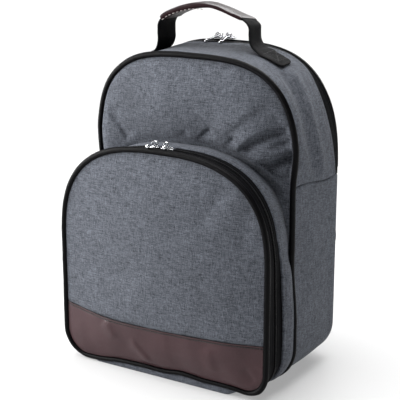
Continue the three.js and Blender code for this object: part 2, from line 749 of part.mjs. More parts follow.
function rowValue(rows, share, key) {
  const place = share * (rows.length - 1);
  const i = Math.min(Math.floor(place), rows.length - 2);
  return mix(rows[i][key], rows[i + 1][key], place - i);
}

function shoulderPad(mirror) {
  const line = strapLine(PAD_LINE, mirror);
  const steps = 15;
  const sections = Array.from({ length: steps + 1 }, (_, i) => {
    const share = i / steps;
    const frame = strapFrame(line, share);
    const width = rowValue(PAD_LINE, share, 'width');
    return ovalRing(frame, frame.across, width, rowValue(PAD_LINE, share, 'thickness'), 10);
  });
  return sweep(sections);
}

function strapWebbing(mirror) {
  const line = strapLine(STRAP_LINE, mirror);
  const steps = 12;
  const sections = Array.from({ length: steps + 1 }, (_, i) => {
    const { centre, across, face } = strapFrame(line, i / steps);
    return [[1, 1], [-1, 1], [-1, -1], [1, -1]].map(([side, top]) => {
      const spot = centre.clone().addScaledVector(across, (side * STRAP.width) / 2);
      return spot.addScaledVector(face, (top * STRAP.thickness) / 2);
    });
  });
  return sweep(sections);
}

function strapAdjuster(mirror) {
  const line = strapLine(STRAP_LINE, mirror);
  const frames = [0, 0.5, 1].map((share) => strapFrame(line, mix(ADJUSTER.from, ADJUSTER.to, share)));
  const { width, thickness } = ADJUSTER;
  const outer = frames.map((frame) => ovalRing(frame, frame.across, width, thickness, RING_SIDES));
  const hole = { width: STRAP.width + 2 * GAP, thickness: STRAP.thickness + 2 * GAP };
  const inner = frames.map((frame) => slotRing(frame, frame.across, hole.width, hole.thickness));
  return wall(turnGrid(outer), turnGrid(inner), true);
}

[{ side: 'left', mirror: -1 }, { side: 'right', mirror: 1 }].forEach(({ side, mirror }) => {
  add(`shoulder_pad_${side}`, shoulderPad(mirror), 'cloth');
  add(`strap_webbing_${side}`, strapWebbing(mirror), 'black');
  add(`strap_adjuster_${side}`, strapAdjuster(mirror), 'plastic');
});

// Zip sliders and pulls

// Slider plate with a bail over it; the hinge of the pull is the origin, its heading along +X
function sliderGeometry(heading) {
  const { length, width, corner } = SLIDER;
  const plate = new THREE.Shape();
  const a = length / 2;
  const b = width / 2;
  plate.moveTo(-a + corner, -b);
  plate.lineTo(a - corner, -b);
  plate.quadraticCurveTo(a, -b, a, -b + corner);
  plate.lineTo(a, b - corner);
  plate.quadraticCurveTo(a, b, a - corner, b);
  plate.lineTo(-a + corner, b);
  plate.quadraticCurveTo(-a, b, -a, b - corner);
  plate.lineTo(-a, -b + corner);
  plate.quadraticCurveTo(-a, -b, -a + corner, -b);
  const bodySettings = { depth: SLIDER.height, bevelEnabled: false, curveSegments: 2 };
  const body = new THREE.ExtrudeGeometry(plate, bodySettings);
  body.translate(0, 0, -BAIL.lift - SLIDER.height);
  body.rotateZ(heading + Math.PI / 2);
  const rooted = -BAIL.lift - SLIDER.height / 2;
  const arch = new THREE.Shape();
  arch.moveTo(BAIL.outer, rooted);
  arch.absarc(0, 0, BAIL.outer, 0, Math.PI, false);
  arch.lineTo(-BAIL.outer, rooted);
  arch.lineTo(-BAIL.inner, rooted);
  arch.absarc(0, 0, BAIL.inner, Math.PI, 0, true);
  arch.lineTo(BAIL.inner, rooted);
  const bailSettings = { depth: BAIL.thickness, bevelEnabled: false, curveSegments: 6 };
  const bail = new THREE.ExtrudeGeometry(arch, bailSettings);
  bail.translate(0, 0, -BAIL.thickness / 2);
  bail.rotateX(Math.PI / 2);
  return toGeometry(toSolid(body).add(toSolid(bail)));
}

// Flat pull with an eye round the bail, a tapering tab and a bead at its end
function pullGeometry() {
  const { eye, hole, holeEnd, bar, neck, length, tip, thickness, bead } = PULL;
  const outlineShape = new THREE.Shape();
  outlineShape.moveTo(-bar, -eye);
  outlineShape.lineTo(neck, -eye);
  outlineShape.lineTo(length, -tip);
  outlineShape.absarc(length, 0, tip, -Math.PI / 2, Math.PI / 2, false);
  outlineShape.lineTo(neck, eye);
  outlineShape.lineTo(-bar, eye);
  const opening = new THREE.Path();
  opening.moveTo(bar, -hole);
  opening.lineTo(bar, hole);
  opening.lineTo(holeEnd, hole);
  opening.lineTo(holeEnd, -hole);
  outlineShape.holes.push(opening);
  const settings = { depth: thickness, bevelEnabled: false, curveSegments: 4 };
  const plate = new THREE.ExtrudeGeometry(outlineShape, settings);
  plate.translate(0, 0, -thickness / 2);
  const end = new THREE.SphereGeometry(bead, 8, 6);
  end.translate(length, 0, 0);
  return toGeometry(toSolid(plate).add(toSolid(end)));
}

function nearestStation(route, body, x, y) {
  const fine = stations(body, route.from, route.to, 400);
  const gap = (station) => Math.abs(body.place(station, y, 0).x - x);
  return fine.reduce((best, station) => (gap(station) < gap(best) ? station : best));
}

const mainTop = { from: aboveSeam, to: opposite(aboveSeam, 1) };
const pocketTop = { from: pocketCorner, to: opposite(pocketCorner, 1) };
const mainCoilY = MAIN_DEPTH + mix(ZIP_TOP_Y - MAIN_DEPTH, BACK_TURN_LENGTH, COIL_SHARE);

SLIDERS.forEach(({ name, side, x, heading, slope }) => {
  const onMain = name === 'main';
  const body = onMain ? main : pocket;
  const y = onMain ? mainCoilY : pocketCoilY;
  const station = nearestStation(onMain ? mainTop : pocketTop, body, x, y);
  const seat = (onMain ? 0 : POCKET_TAPE_LIFT) + COIL.height + GAP;
  const hinge = body.place(station, y, seat + SLIDER.height + BAIL.lift);
  const up = hinge.clone().sub(body.place(station, y, 0)).normalize();
  const ahead = new THREE.Vector3(0, -1, 0);
  const left = ahead.clone().cross(up);
  const turn = THREE.MathUtils.degToRad(heading);
  const along = ahead.multiplyScalar(Math.cos(turn)).addScaledVector(left, Math.sin(turn));
  const mount = new THREE.Group();
  mount.applyMatrix4(new THREE.Matrix4().makeBasis(along, up.clone().cross(along), up).setPosition(hinge));
  bag.add(mount);
  add(`${name}_slider_${side}`, sliderGeometry(turn), 'chrome', mount);
  const pull = add(`${name}_pull_${side}`, pullGeometry(), 'chrome', mount);
  pull.rotation.y = THREE.MathUtils.degToRad(slope);
});

// The origin lies under the middle of the bag, on the ground
const picnicBackpack = new THREE.Group();
picnicBackpack.add(bag);
const reach = new THREE.Box3().setFromObject(bag, true);
const middle = reach.getCenter(new THREE.Vector3());
bag.position.set(-middle.x, -middle.y, -reach.min.z);
picnicBackpack.updateMatrixWorld(true);

export default picnicBackpack;
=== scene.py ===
import json
import math

import bmesh
import bpy
import numpy as np
from mathutils import Matrix, Vector, noise


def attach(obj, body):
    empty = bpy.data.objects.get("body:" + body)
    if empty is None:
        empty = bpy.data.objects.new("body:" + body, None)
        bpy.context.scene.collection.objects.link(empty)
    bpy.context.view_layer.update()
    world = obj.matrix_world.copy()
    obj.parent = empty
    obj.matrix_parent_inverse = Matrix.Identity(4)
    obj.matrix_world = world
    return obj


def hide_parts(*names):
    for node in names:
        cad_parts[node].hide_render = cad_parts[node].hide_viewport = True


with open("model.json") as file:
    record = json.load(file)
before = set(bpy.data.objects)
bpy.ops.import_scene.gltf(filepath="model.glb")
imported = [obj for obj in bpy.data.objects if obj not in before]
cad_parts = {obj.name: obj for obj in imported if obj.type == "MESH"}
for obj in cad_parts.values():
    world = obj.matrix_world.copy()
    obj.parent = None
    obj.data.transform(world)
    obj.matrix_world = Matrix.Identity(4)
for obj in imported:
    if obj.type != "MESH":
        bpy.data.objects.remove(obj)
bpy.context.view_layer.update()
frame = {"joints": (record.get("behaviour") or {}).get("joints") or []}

# The main front wall: one piece of grey melange polyester on thin foam, cut to an arch.
# Its edge is sewn into the piping all round, and the pocket is sewn on over its lower part.
# Above the pocket it hangs slack, so creases run from the pocket up to the piping.
BAG_MIDDLE = np.array([0.005, -0.038316, 0.0])
MAIN_INSIDE = np.array([0, 50, 190])
PINCH = (75, 150, 235, 290)
BEND_WEIGHT = 60
PIPING_RADIUS = 3.2
SEAM_INSET = PIPING_RADIUS + 0.3
CLOTH = 2.0


def placed(points):
    """Points in mm from the middle of the front seam, at the ground, as metres in the frame."""
    return np.asarray(points, float) / 1000 + BAG_MIDDLE


def smooth(value, start, end):
    share = np.clip((np.asarray(value, float) - start) / (end - start), 0, 1)
    return share * share * (3 - 2 * share)


def curve(rows):
    """Smooth curve through rows of place and value."""
    place, value = np.array(rows, float).T
    slope = np.gradient(value, place)

    def at(spot):
        spot = np.clip(spot, place[0], place[-1])
        i = np.clip(np.searchsorted(place, spot, side="right") - 1, 0, len(place) - 2)
        step = place[i + 1] - place[i]
        t = (spot - place[i]) / step
        start = (2 * t**3 - 3 * t**2 + 1) * value[i] + (t**3 - 2 * t**2 + t) * step * slope[i]
        return start + (3 * t**2 - 2 * t**3) * value[i + 1] + (t**3 - t**2) * step * slope[i + 1]

    return at


def unevenness(points, size, seed):
    """Smooth bumps of about the given size in mm, from -1 to 1."""
    shift = Vector((seed * 7.31, seed * 3.17, seed * 5.73))
    flat = np.asarray(points, float).reshape(-1, 3) / size
    return np.array([noise.noise(Vector(p) + shift) for p in flat]).reshape(points.shape[:-1])


def unit(vectors):
    """Vectors brought to length one."""
    return vectors / np.linalg.norm(vectors, axis=-1, keepdims=True)


class Arch:
    """Outline of a wall in the XZ plane, from the middle of its foot round by the right side, in mm."""

    def __init__(self, half_width, height, spring, power, foot, corner, shift=0, pinch=0, left_pinch=0):
        part = np.linspace(0, 1, 90, endpoint=False)
        turn = part * np.pi / 2
        bend_x = half_width - corner + corner * np.sin(turn)
        bend_z = foot + corner - corner * np.cos(turn)
        crown_x = np.append(half_width * np.cos(turn) ** (2 / power), 0)
        crown_z = spring + (height - spring) * np.append(np.sin(turn) ** (2 / power), 1)
        x = np.concatenate([part * (half_width - corner), bend_x, np.full(90, half_width), crown_x])
        side_z = foot + corner + part * (spring - foot - corner)
        z = np.concatenate([np.full(90, foot), bend_z, side_z, crown_z])
        low, low_full, high_full, high = PINCH
        x = x * (1 - pinch / half_width * smooth(z, low, low_full) * (1 - smooth(z, high_full, high)))
        left = x - left_pinch * smooth(z, 190, 250) * (1 - smooth(z, 290, 340))
        self.corner_at = half_width - corner + shift
        self.x = np.append(x, -left[-2:0:-1]) + shift
        self.z = np.append(z, z[-2:0:-1])
        points = np.column_stack([self.x, self.z])
        ahead = np.roll(points, -1, 0) - points
        heading = np.arctan2(ahead[:, 1], ahead[:, 0])
        bend = np.abs((np.roll(heading, -1) - heading + np.pi) % (2 * np.pi) - np.pi)
        way = np.append(0, np.cumsum(np.hypot(*ahead.T) + BEND_WEIGHT * bend))
        self.way = way / way[-1]
        along = unit(np.roll(points, -1, 0) - np.roll(points, 1, 0))
        self.columns = [np.append(c, c[0]) for c in (self.x, self.z, along[:, 1], -along[:, 0])]

    def at(self, share):
        """Points and outward normals at shares of the way round."""
        x, z, across, up = (np.interp(np.mod(share, 1), self.way, c) for c in self.columns)
        return np.stack([x, z], -1), np.stack([across, up], -1)

    def share_where(self, test):
        return self.way[np.argmax(test)]

    def rim(self, count, inset):
        points, normals = self.at(np.arange(count) / count)
        return points - inset * normals


def added(name, data):
    """Object in the scene, from its mesh or other data."""
    made = bpy.data.objects.new(name, data)
    bpy.context.scene.collection.objects.link(made)
    return made


def sewn_mesh(name, points, faces, pattern, crisp=60):
    """Closed piece from points in mm; pattern is the cloth's own place, in metres, at each face corner."""
    mesh = bpy.data.meshes.new(name)
    mesh.from_pydata(placed(points).tolist(), [], faces)
    mesh.uv_layers.new(name="Cloth").data.foreach_set("uv", np.asarray(pattern, np.float32).ravel())
    turned = bmesh.new()
    turned.from_mesh(mesh)
    if turned.calc_volume(signed=True) < 0:
        bmesh.ops.reverse_faces(turned, faces=turned.faces)
    turned.to_mesh(mesh)
    turned.free()
    mesh.shade_smooth()
    mesh.set_sharp_from_angle(angle=math.radians(crisp))
    return added(name, mesh)


def quads(grid):
    return np.stack([grid[:-1, :-1], grid[1:, :-1], grid[1:, 1:], grid[:-1, 1:]], 2)


def lengths(points, axis):
    """Way along an axis of a grid of points."""
    steps = np.linalg.norm(np.diff(points, axis=axis), axis=-1)
    return np.insert(np.cumsum(steps, axis=axis), 0, 0, axis=axis)


def evenly(line, count, start=0.0, end=1.0):
    """Points at even steps along a line, between two shares of its length."""
    way = lengths(line, 0)
    spots = np.linspace(start, end, count) * way[-1]
    return np.stack([np.interp(spots, way, column) for column in line.T], -1)


def wall(name, outer, thickness=CLOTH, relief=0.0, pattern=None, loop=False, inside=MAIN_INSIDE):
    """Closed wall whose outer face is a grid of points in mm, raised by its relief.

    A loop joins the last column to the first, and closes the last row in the middle.
    """
    around = np.roll(outer, -1, 1) - np.roll(outer, 1, 1) if loop else np.gradient(outer, axis=1)
    normal = unit(np.cross(np.gradient(outer, axis=0), around))
    normal *= np.sign(np.sum(normal * (outer - inside)))
    face = outer + normal * np.broadcast_to(relief, outer.shape[:2])[..., None]
    points = np.vstack([face.reshape(-1, 3), (face - normal * thickness).reshape(-1, 3)])
    if pattern is None:
        along = lengths(outer[:, outer.shape[1] // 2], 0)[:, None]
        pattern = np.stack(np.broadcast_arrays(along, lengths(outer, 1)), -1) / 1000
    spots = np.vstack([pattern.reshape(-1, 2)] * 2)
    count = len(points) // 2
    grid = np.arange(count).reshape(outer.shape[:2])
    grid = np.hstack([grid, grid[:, :1]]) if loop else grid
    front = quads(grid).reshape(-1, 4)

    def edge(ids):
        return np.stack([ids[:-1], ids[1:], ids[1:] + count, ids[:-1] + count], 1)

    faces = [front, front[:, ::-1] + count, edge(grid[0])]
    if loop:
        last = grid[-1]
        points = np.vstack([points, points[last].mean(0), points[last + count].mean(0)])
        spots = np.vstack([spots, spots[last].mean(0), spots[last].mean(0)])
        middle = np.full(len(last) - 1, 2 * count)
        faces.append(np.stack([last[1:], last[:-1], middle], 1))
        faces.append(np.stack([last[:-1] + count, last[1:] + count, middle + 1], 1))
    else:
        faces += [edge(grid[-1])[:, ::-1], edge(grid[:, 0])[:, ::-1], edge(grid[:, -1])]
    listed = [face for group in faces for face in group.tolist()]
    return sewn_mesh(name, points, listed, spots[np.concatenate(listed)])


def fill(tree, node, inputs):
    """Sets or links a node's inputs, given by name or number."""
    for key, value in inputs.items():
        if isinstance(value, bpy.types.NodeSocket):
            tree.links.new(value, node.inputs[key])
        else:
            node.inputs[key].default_value = value
    return node


def wire(tree, kind, inputs=None, **settings):
    """Adds a node with its settings and its inputs."""
    node = tree.nodes.new(kind)
    for key, value in settings.items():
        setattr(node, key, value)
    return fill(tree, node, inputs or {})


def calc(tree, operation, *terms):
    return wire(tree, "ShaderNodeMath", dict(enumerate(terms)), operation=operation).outputs[0]


def mixed(tree, share, first, second):
    """Colour at a share of the way from one to another."""
    return wire(tree, "ShaderNodeMix", {0: share, 6: first, 7: second}, data_type="RGBA").outputs[2]


def scaled(tree, vector, scale):
    return wire(tree, "ShaderNodeVectorMath", {0: vector, "Scale": scale}, operation="SCALE").outputs[0]


def speckle(tree, vector, scale, detail):
    """Noise texture node."""
    return wire(tree, "ShaderNodeTexNoise", {"Vector": vector, "Scale": scale, "Detail": detail})


def bumped(tree, height, strength, distance):
    """Normal of a surface with a fine relief."""
    return wire(tree, "ShaderNodeBump", {"Strength": strength, "Distance": distance, "Height": height}).outputs[0]


def use(tree, group, vector, **values):
    """Outputs of a shared effect at work in a material."""
    return wire(tree, "ShaderNodeGroup", {"Vector": vector, **values}, node_tree=group).outputs


def effect(name, inputs, outputs):
    """Empty shader group with named sockets: its tree, what it is given and the node for its results."""
    tree = bpy.data.node_groups.new(name, "ShaderNodeTree")
    for label, (kind, value) in inputs.items():
        socket = tree.interface.new_socket(label, in_out="INPUT", socket_type="NodeSocket" + kind)
        if value is not None:
            socket.default_value = value
    for label, kind in outputs.items():
        tree.interface.new_socket(label, in_out="OUTPUT", socket_type="NodeSocket" + kind)
    return tree, tree.nodes.new("NodeGroupInput").outputs, tree.nodes.new("NodeGroupOutput")


def melange_weave():
    """Plain weave of yarns that each turn lighter and darker along their length, with painted shade where the yarns dip
    under each other.
    """
    tree, given, result = effect(
        "Melange weave",
        {"Vector": ("Vector", None), "Yarn": ("Float", 0.0007), "Light": ("Color", (0.3, 0.3, 0.3, 1)),
         "Dark": ("Color", (0.1, 0.1, 0.1, 1)), "Contrast": ("Float", 0.25)},
        {"Color": "Color", "Height": "Float"},
    )
    yarns = scaled(tree, given["Vector"], calc(tree, "DIVIDE", 1.0, given["Yarn"]))
    split = wire(tree, "ShaderNodeSeparateXYZ", {0: yarns}).outputs
    cell = [calc(tree, "FLOOR", split[i]) for i in (0, 1)]
    aside = [calc(tree, "MULTIPLY", calc(tree, "SUBTRACT", calc(tree, "FRACT", split[i]), 0.5), math.pi)
             for i in (0, 1)]
    rounded = [calc(tree, "COSINE", a) for a in aside]
    turn = calc(tree, "MULTIPLY", calc(tree, "ADD", cell[0], cell[1]), math.pi)
    over = calc(tree, "COSINE", turn)
    lift = [calc(tree, "MULTIPLY_ADD", calc(tree, "MULTIPLY", over, rounded[1 - i]), sign, 0.5)
            for i, sign in ((0, 0.5), (1, -0.5))]
    height = [calc(tree, "MULTIPLY", rounded[i], lift[i]) for i in (0, 1)]
    shade = []
    for i in (0, 1):
        yarn = calc(tree, "MULTIPLY", cell[i], 5.173)
        way = calc(tree, "MULTIPLY_ADD", split[1 - i], (0.13, 0.09)[i], 40.0 * i)
        spot = wire(tree, "ShaderNodeCombineXYZ", {0: yarn, 1: way}).outputs[0]
        dye = wire(tree, "ShaderNodeTexNoise", {"Vector": spot, "Scale": 1.0, "Detail": 2.0, "Roughness": 0.7},
                   noise_dimensions="2D")
        shade.append(dye.outputs[0])
    warp_on_top = calc(tree, "GREATER_THAN", height[0], height[1])
    picked = wire(tree, "ShaderNodeMix", {0: warp_on_top, 2: shade[1], 3: shade[0]}).outputs[0]
    low = calc(tree, "SUBTRACT", 0.5, given["Contrast"])
    high = calc(tree, "ADD", 0.5, given["Contrast"])
    spread = wire(tree, "ShaderNodeMapRange", {0: picked, 1: low, 2: high}).outputs[0]
    top = calc(tree, "MAXIMUM", height[0], height[1])
    # Painted shade: the colour is darker where a yarn sinks under its neighbours, standing in for shade in the weave's
    # hollows.
    painted_gap_shade = calc(tree, "MULTIPLY_ADD", top, 0.5, 0.5)
    shaded = scaled(tree, mixed(tree, spread, given["Dark"], given["Light"]), painted_gap_shade)
    fill(tree, result, {"Color": shaded, "Height": top})
    return tree


def handling():
    """Broad, faint patches where cloth or trim has been handled: a value near one."""
    tree, given, result = effect(
        "Handling", {"Vector": ("Vector", None), "Size": ("Float", 0.04), "Amount": ("Float", 0.1)},
        {"Value": "Float"})
    patch = speckle(tree, given["Vector"], calc(tree, "DIVIDE", 1.0, given["Size"]), 3.0)
    centred = calc(tree, "SUBTRACT", patch.outputs[0], 0.5)
    swing = calc(tree, "MULTIPLY", calc(tree, "MULTIPLY", centred, 2.0), given["Amount"])
    fill(tree, result, {"Value": calc(tree, "ADD", swing, 1.0)})
    return tree


def blank_finish(name):
    """Material with a plain Principled shader: the material, its tree and the shader."""
    made = bpy.data.materials.new(name)
    made.use_nodes = True
    tree = made.node_tree
    tree.nodes.clear()
    shader = tree.nodes.new("ShaderNodeBsdfPrincipled")
    wire(tree, "ShaderNodeOutputMaterial", {0: shader.outputs[0]})
    return made, tree, shader


def on_cloth(tree):
    """Place on the piece's own flat pattern, in metres."""
    return wire(tree, "ShaderNodeUVMap", uv_map="Cloth").outputs[0]


def on_body(tree):
    """Place in the bag, in metres."""
    return wire(tree, "ShaderNodeTexCoord").outputs["Object"]


MELANGE = melange_weave()
HANDLING = handling()


def melange_cloth(name, light, dark):
    """Grey polyester cloth of melange yarn, matt, with the faint sheen of fibre ends."""
    made, tree, shader = blank_finish(name)
    weave = use(tree, MELANGE, on_cloth(tree), Yarn=0.00092, Light=(*light, 1), Dark=(*dark, 1), Contrast=0.22)
    worn = use(tree, HANDLING, on_body(tree), Size=0.035, Amount=0.16)
    fill(tree, shader, {
        "Base Color": scaled(tree, weave["Color"], worn["Value"]), "Roughness": 0.86, "Specular IOR Level": 0.15,
        "Sheen Weight": 0.05, "Sheen Roughness": 0.5, "Normal": bumped(tree, weave["Height"], 0.55, 0.0003)})
    return made


GREY_CLOTH = melange_cloth("grey melange cloth", (0.182, 0.197, 0.232), (0.029, 0.032, 0.041))


def dress(piece, material, slot, *nodes, body="bag"):
    """Gives a finished piece its material and ties it to the frame."""
    piece.data.materials.clear()
    piece.data.materials.append(material)
    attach(piece, body)
    if nodes:
        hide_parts(*nodes)
    return piece


CREASE_STEPS = 40


def crease(points, path, depth, steep, gentle):
    """Fold along a path in the wall's plane: steep on the left of the path, easing out on its right."""
    path = evenly(np.array(path, float), CREASE_STEPS)
    along = unit(np.gradient(path, axis=0))
    offset = points[..., None, [0, 2]] - path
    near = np.argmin((offset**2).sum(-1), -1)
    offset = np.take_along_axis(offset, near[..., None, None], -2)[..., 0, :]
    aside = along[near, 0] * offset[..., 1] - along[near, 1] * offset[..., 0]
    share = near / (CREASE_STEPS - 1)
    fade = smooth(share, 0, 0.3) * (1 - smooth(share, 0.7, 1))
    return -depth * fade * np.exp(-((aside / np.where(aside > 0, steep, gentle)) ** 2))


MAIN_SPRING, MAIN_FOOT, MAIN_CORNER = 218, 5, 44
MAIN_FRONT = Arch(138, 377.5, MAIN_SPRING, 3.25, MAIN_FOOT, MAIN_CORNER, pinch=5, left_pinch=2.2)
POCKET_SHOULDER = {"half_width": 134, "height": 274, "spring": 151, "power": 2.6}
CROWNS = [
    (-1.0, 5.0, 60, curve([(0, 0), (0.05, 0.4), (0.12, 0.6), (0.5, 0.88), (1, 1)])),
    (0.0, 12.0, 60, curve([(0, 0), (0.1, 0.25), (0.33, 0.65), (0.67, 0.93), (1, 1)])),
    (1.0, 24.0, 84, curve([(0, 0), (0.13, 0.23), (0.4, 0.55), (0.7, 0.86), (1, 1)])),
]
TUCK = curve([(0, 1), (0.8, 1), (0.94, 0.8), (1, 0.55)])
SLACK_END = 1.035
RIGHT_SINK = 0.055
MAIN_CREASES = [
    ([(-86, 264), (-92, 274), (-99, 284), (-109, 293), (-118, 301), (-122, 306)], 2.6, 2.4, 9),
    ([(-20, 279), (-9, 286), (2, 293)], 2.6, 3.0, 9),
    ([(10, 278), (21, 289), (34, 301)], 3.6, 2.6, 8),
    ([(44, 271), (54, 282), (66, 294)], 3.2, 2.6, 8),
    ([(62, 264), (75, 278), (84, 286), (94, 294), (105, 300), (118, 304), (136, 307)], 7.5, 3.2, 11),
    ([(104, 283), (116, 288), (128, 294), (146, 302)], 3.6, 2.2, 6),
    ([(82, 264), (92, 262), (102, 263), (112, 267), (121, 272), (131, 279), (146, 289)], 10.5, 3.6, 9),
    ([(104, 262), (114, 254), (126, 244)], 5.0, 4.0, 8),
    ([(40, 276), (66, 300), (92, 322), (112, 334)], 2.0, 5.0, 12),
]


def main_front_wall():
    rim = MAIN_FRONT.rim(480, SEAM_INSET)
    hub = np.array([0, POCKET_SHOULDER["spring"]])
    arm = rim - hub
    across = np.abs(arm[:, 0]) / POCKET_SHOULDER["half_width"]
    up = np.maximum(arm[:, 1], 0) / (POCKET_SHOULDER["height"] - POCKET_SHOULDER["spring"])
    power = POCKET_SHOULDER["power"]
    reach = (across**power + up**power) ** (1 / power)
    foot = np.where(arm[:, 1] > 0, np.minimum(0.95, SLACK_END / np.maximum(reach, 0.01)), 0.95)
    share = np.concatenate([np.linspace(0, 1, 70), [1.12]])[:, None]
    inward = 1 + (foot - 1)[None, :] * np.minimum(share, 1)
    inward = np.where(share > 1, 0.5 * foot[None, :], inward)
    flat = hub + arm[None] * inward[..., None]
    free = 1 - smooth(foot, 0.85, 0.95)
    reach = np.linalg.norm(arm, axis=1)
    lean = smooth(np.abs(arm[:, 0]) / reach, 0.1, 0.6) * np.sign(arm[:, 0])
    from_rim = reach * (1 - foot) * np.minimum(share, 1)
    crown = sum(np.maximum(0, 1 - np.abs(lean - side)) * height * profile(np.minimum(from_rim / width, 1))
                for side, height, width, profile in CROWNS) * TUCK(np.minimum(share, 1)) * free
    sink = RIGHT_SINK * np.maximum(flat[..., 0] - 5, 0) * smooth(-flat[..., 1], -365, -300)
    crown -= sink * smooth(share, 0, 0.25) * free
    points = np.stack([flat[..., 0], -CLOTH / 2 - crown, flat[..., 1]], -1)
    slack = free * smooth(share, 0, 0.12) * (1 - smooth(share, 0.8, 1))
    folds = sum(crease(points, *row) for row in MAIN_CREASES)
    relief = slack * (folds + 1.1 * unevenness(points, 55, 1) + 0.35 * unevenness(points, 16, 2))
    pucker = free * smooth(share, 0, 0.02) * np.exp(-share / 0.09) * unevenness(points, 7, 3)
    return wall("main_front_wall", points, relief=relief + 0.35 * pucker, pattern=flat / 1000, loop=True)


front_wall = main_front_wall()
dress(front_wall, GREY_CLOTH, "grey_cloth", "main_front_panel")

# The two bands of the main compartment, cut from the same cloth and joined by a seam low on each side.
# The upper one runs over the top and sinks into a soft trough; the lower one goes under the bag.
# Both are sewn to the front wall through the piping, and the lower one turns onto the back.
BACK_HEIGHT = 384
MAIN_BACK = Arch(138.5, BACK_HEIGHT, MAIN_SPRING, 3, MAIN_FOOT, MAIN_CORNER)
MAIN_DEPTH = 100
SEAM_GAP = 0.00012
BACK_ROUNDING = 9.5
BACK_INSET = 14
BACK_TURN = math.pi / 2 * BACK_ROUNDING + BACK_INSET - BACK_ROUNDING
SIDE_FULLNESS = 1.5
TROUGH = curve([(0, 0), (0.08, 0.9), (0.2, 1.0), (0.36, 0.5), (0.48, 0.5), (0.6, 1.5), (0.75, 2.2), (0.9, 1.4), (1, 0)])
SEAM_SWING = 0.0014


class Skin:
    """Surface of a compartment between a front and a back outline, at two depths in mm.

    A seam on each side, at given shares of the way round the two outlines, parts its upper and its lower band.
    """

    def __init__(self, front, back, front_y, back_y, seams):
        self.front, self.back, self.front_y, self.back_y, self.seams = front, back, front_y, back_y, seams

    def over(self, place):
        """Shares on the two outlines at places from the right seam over the top to the left one."""
        return [s + SEAM_GAP + place * (1 - 2 * s - 2 * SEAM_GAP) for s in self.seams]

    def under(self, place):
        """Shares on the two outlines at places from the left seam under the foot to the right one."""
        return [1 - s + SEAM_GAP + place * (2 * s - 2 * SEAM_GAP) for s in self.seams]

    def raised(self, shares, y, lift):
        """Points lifted off the skin, and the directions out of it there."""
        points = self.at(*shares, y, lift)
        return points, self.at(*shares, y, lift + 1) - points

    def at(self, front_share, back_share, y, lift):
        """Points at shares of the outlines and a depth, lifted off the skin."""
        front, front_out = self.front.at(front_share)
        back, back_out = self.back.at(back_share)
        share = np.clip((y - self.front_y) / (self.back_y - self.front_y), 0, 1)[..., None]
        out = unit(front_out + (back_out - front_out) * share)
        spot = front + (back - front) * share + out * np.asarray(lift)[..., None]
        return np.stack([spot[..., 0], np.broadcast_to(y, spot.shape[:-1]), spot[..., 1]], -1)


SIDE_SEAMS = (MAIN_FRONT.share_where(MAIN_FRONT.z >= 235.5), MAIN_BACK.share_where(MAIN_BACK.z >= 232))
MAIN = Skin(MAIN_FRONT, MAIN_BACK, 0, MAIN_DEPTH, SIDE_SEAMS)


def seam_swing(y):
    """The side seams wander a little, first up and then down, on their way to the back."""
    return SEAM_SWING * np.sin(2 * np.pi * np.clip(y / MAIN_DEPTH, 0, 1))


ZIP_GAP = 0.15
ZIP_EDGE = curve([(0, 86), (0.15, 88), (0.3, 93), (0.42, 92), (0.6, 85), (0.75, 86), (0.88, 92), (1, 98)])


def zip_edge(place):
    return ZIP_EDGE(np.abs(2 * place - 1))


def side_lift(y):
    return SIDE_FULLNESS * np.sin(np.pi * np.clip(y / MAIN_DEPTH, 0, 1))


def upper_lift(place, y):
    share = np.clip((y - SEAM_INSET) / (zip_edge(place) - SEAM_INSET), 0, 1)
    crest = np.abs(2 * place - 1)
    strength = 0.35 + 0.65 * smooth(crest, 0.25, 0.5)
    near_seam = smooth(crest, 0.84, 1)
    return TROUGH(share) * strength * (1 - near_seam) + side_lift(y) * near_seam


def back_turn(way):
    """Depth and lift along the way round the back edge, from the side onto the back."""
    arc = math.pi / 2 * BACK_ROUNDING
    turn = np.clip(way / BACK_ROUNDING, 0, math.pi / 2)
    y = MAIN_DEPTH + np.minimum(way, 0) + BACK_ROUNDING * np.sin(turn)
    return y, -BACK_ROUNDING * (1 - np.cos(turn)) - np.maximum(way - arc, 0)


def folded_edge(distance, size):
    """Drop of the outer face where cloth is folded under along an edge."""
    share = np.clip(distance / size, 0, 1)
    return size * (np.sqrt(1 - (1 - share) ** 2) - 1) * 0.8


FOLD_Y = curve([(235, 60), (258, 51), (284, 42), (305, 38), (325, 38), (345, 41), (363, 45), (380, 48)])


def shoulder_fold(points):
    """Height of the fold the band has taken down each shoulder: a dip by the piping and a low ridge behind it."""
    y, z = points[..., 1], points[..., 2]
    off = y - FOLD_Y(z)
    shape = 2.6 * np.exp(-(((off - 8) / 8) ** 2)) - 3.2 * np.exp(-(((off + 9) / 10) ** 2))
    return shape * smooth(z, 234, 262) * (1 - smooth(z, 352, 372))


def roof_sag(points):
    """How far the unpropped middle of the roof has sunk in front of the zip."""
    x, y, z = np.moveaxis(points, -1, 0)
    return 1.6 * np.exp(-(((x + 25) / 32) ** 2)) * smooth(y, 15, 60) * smooth(z, 330, 370)


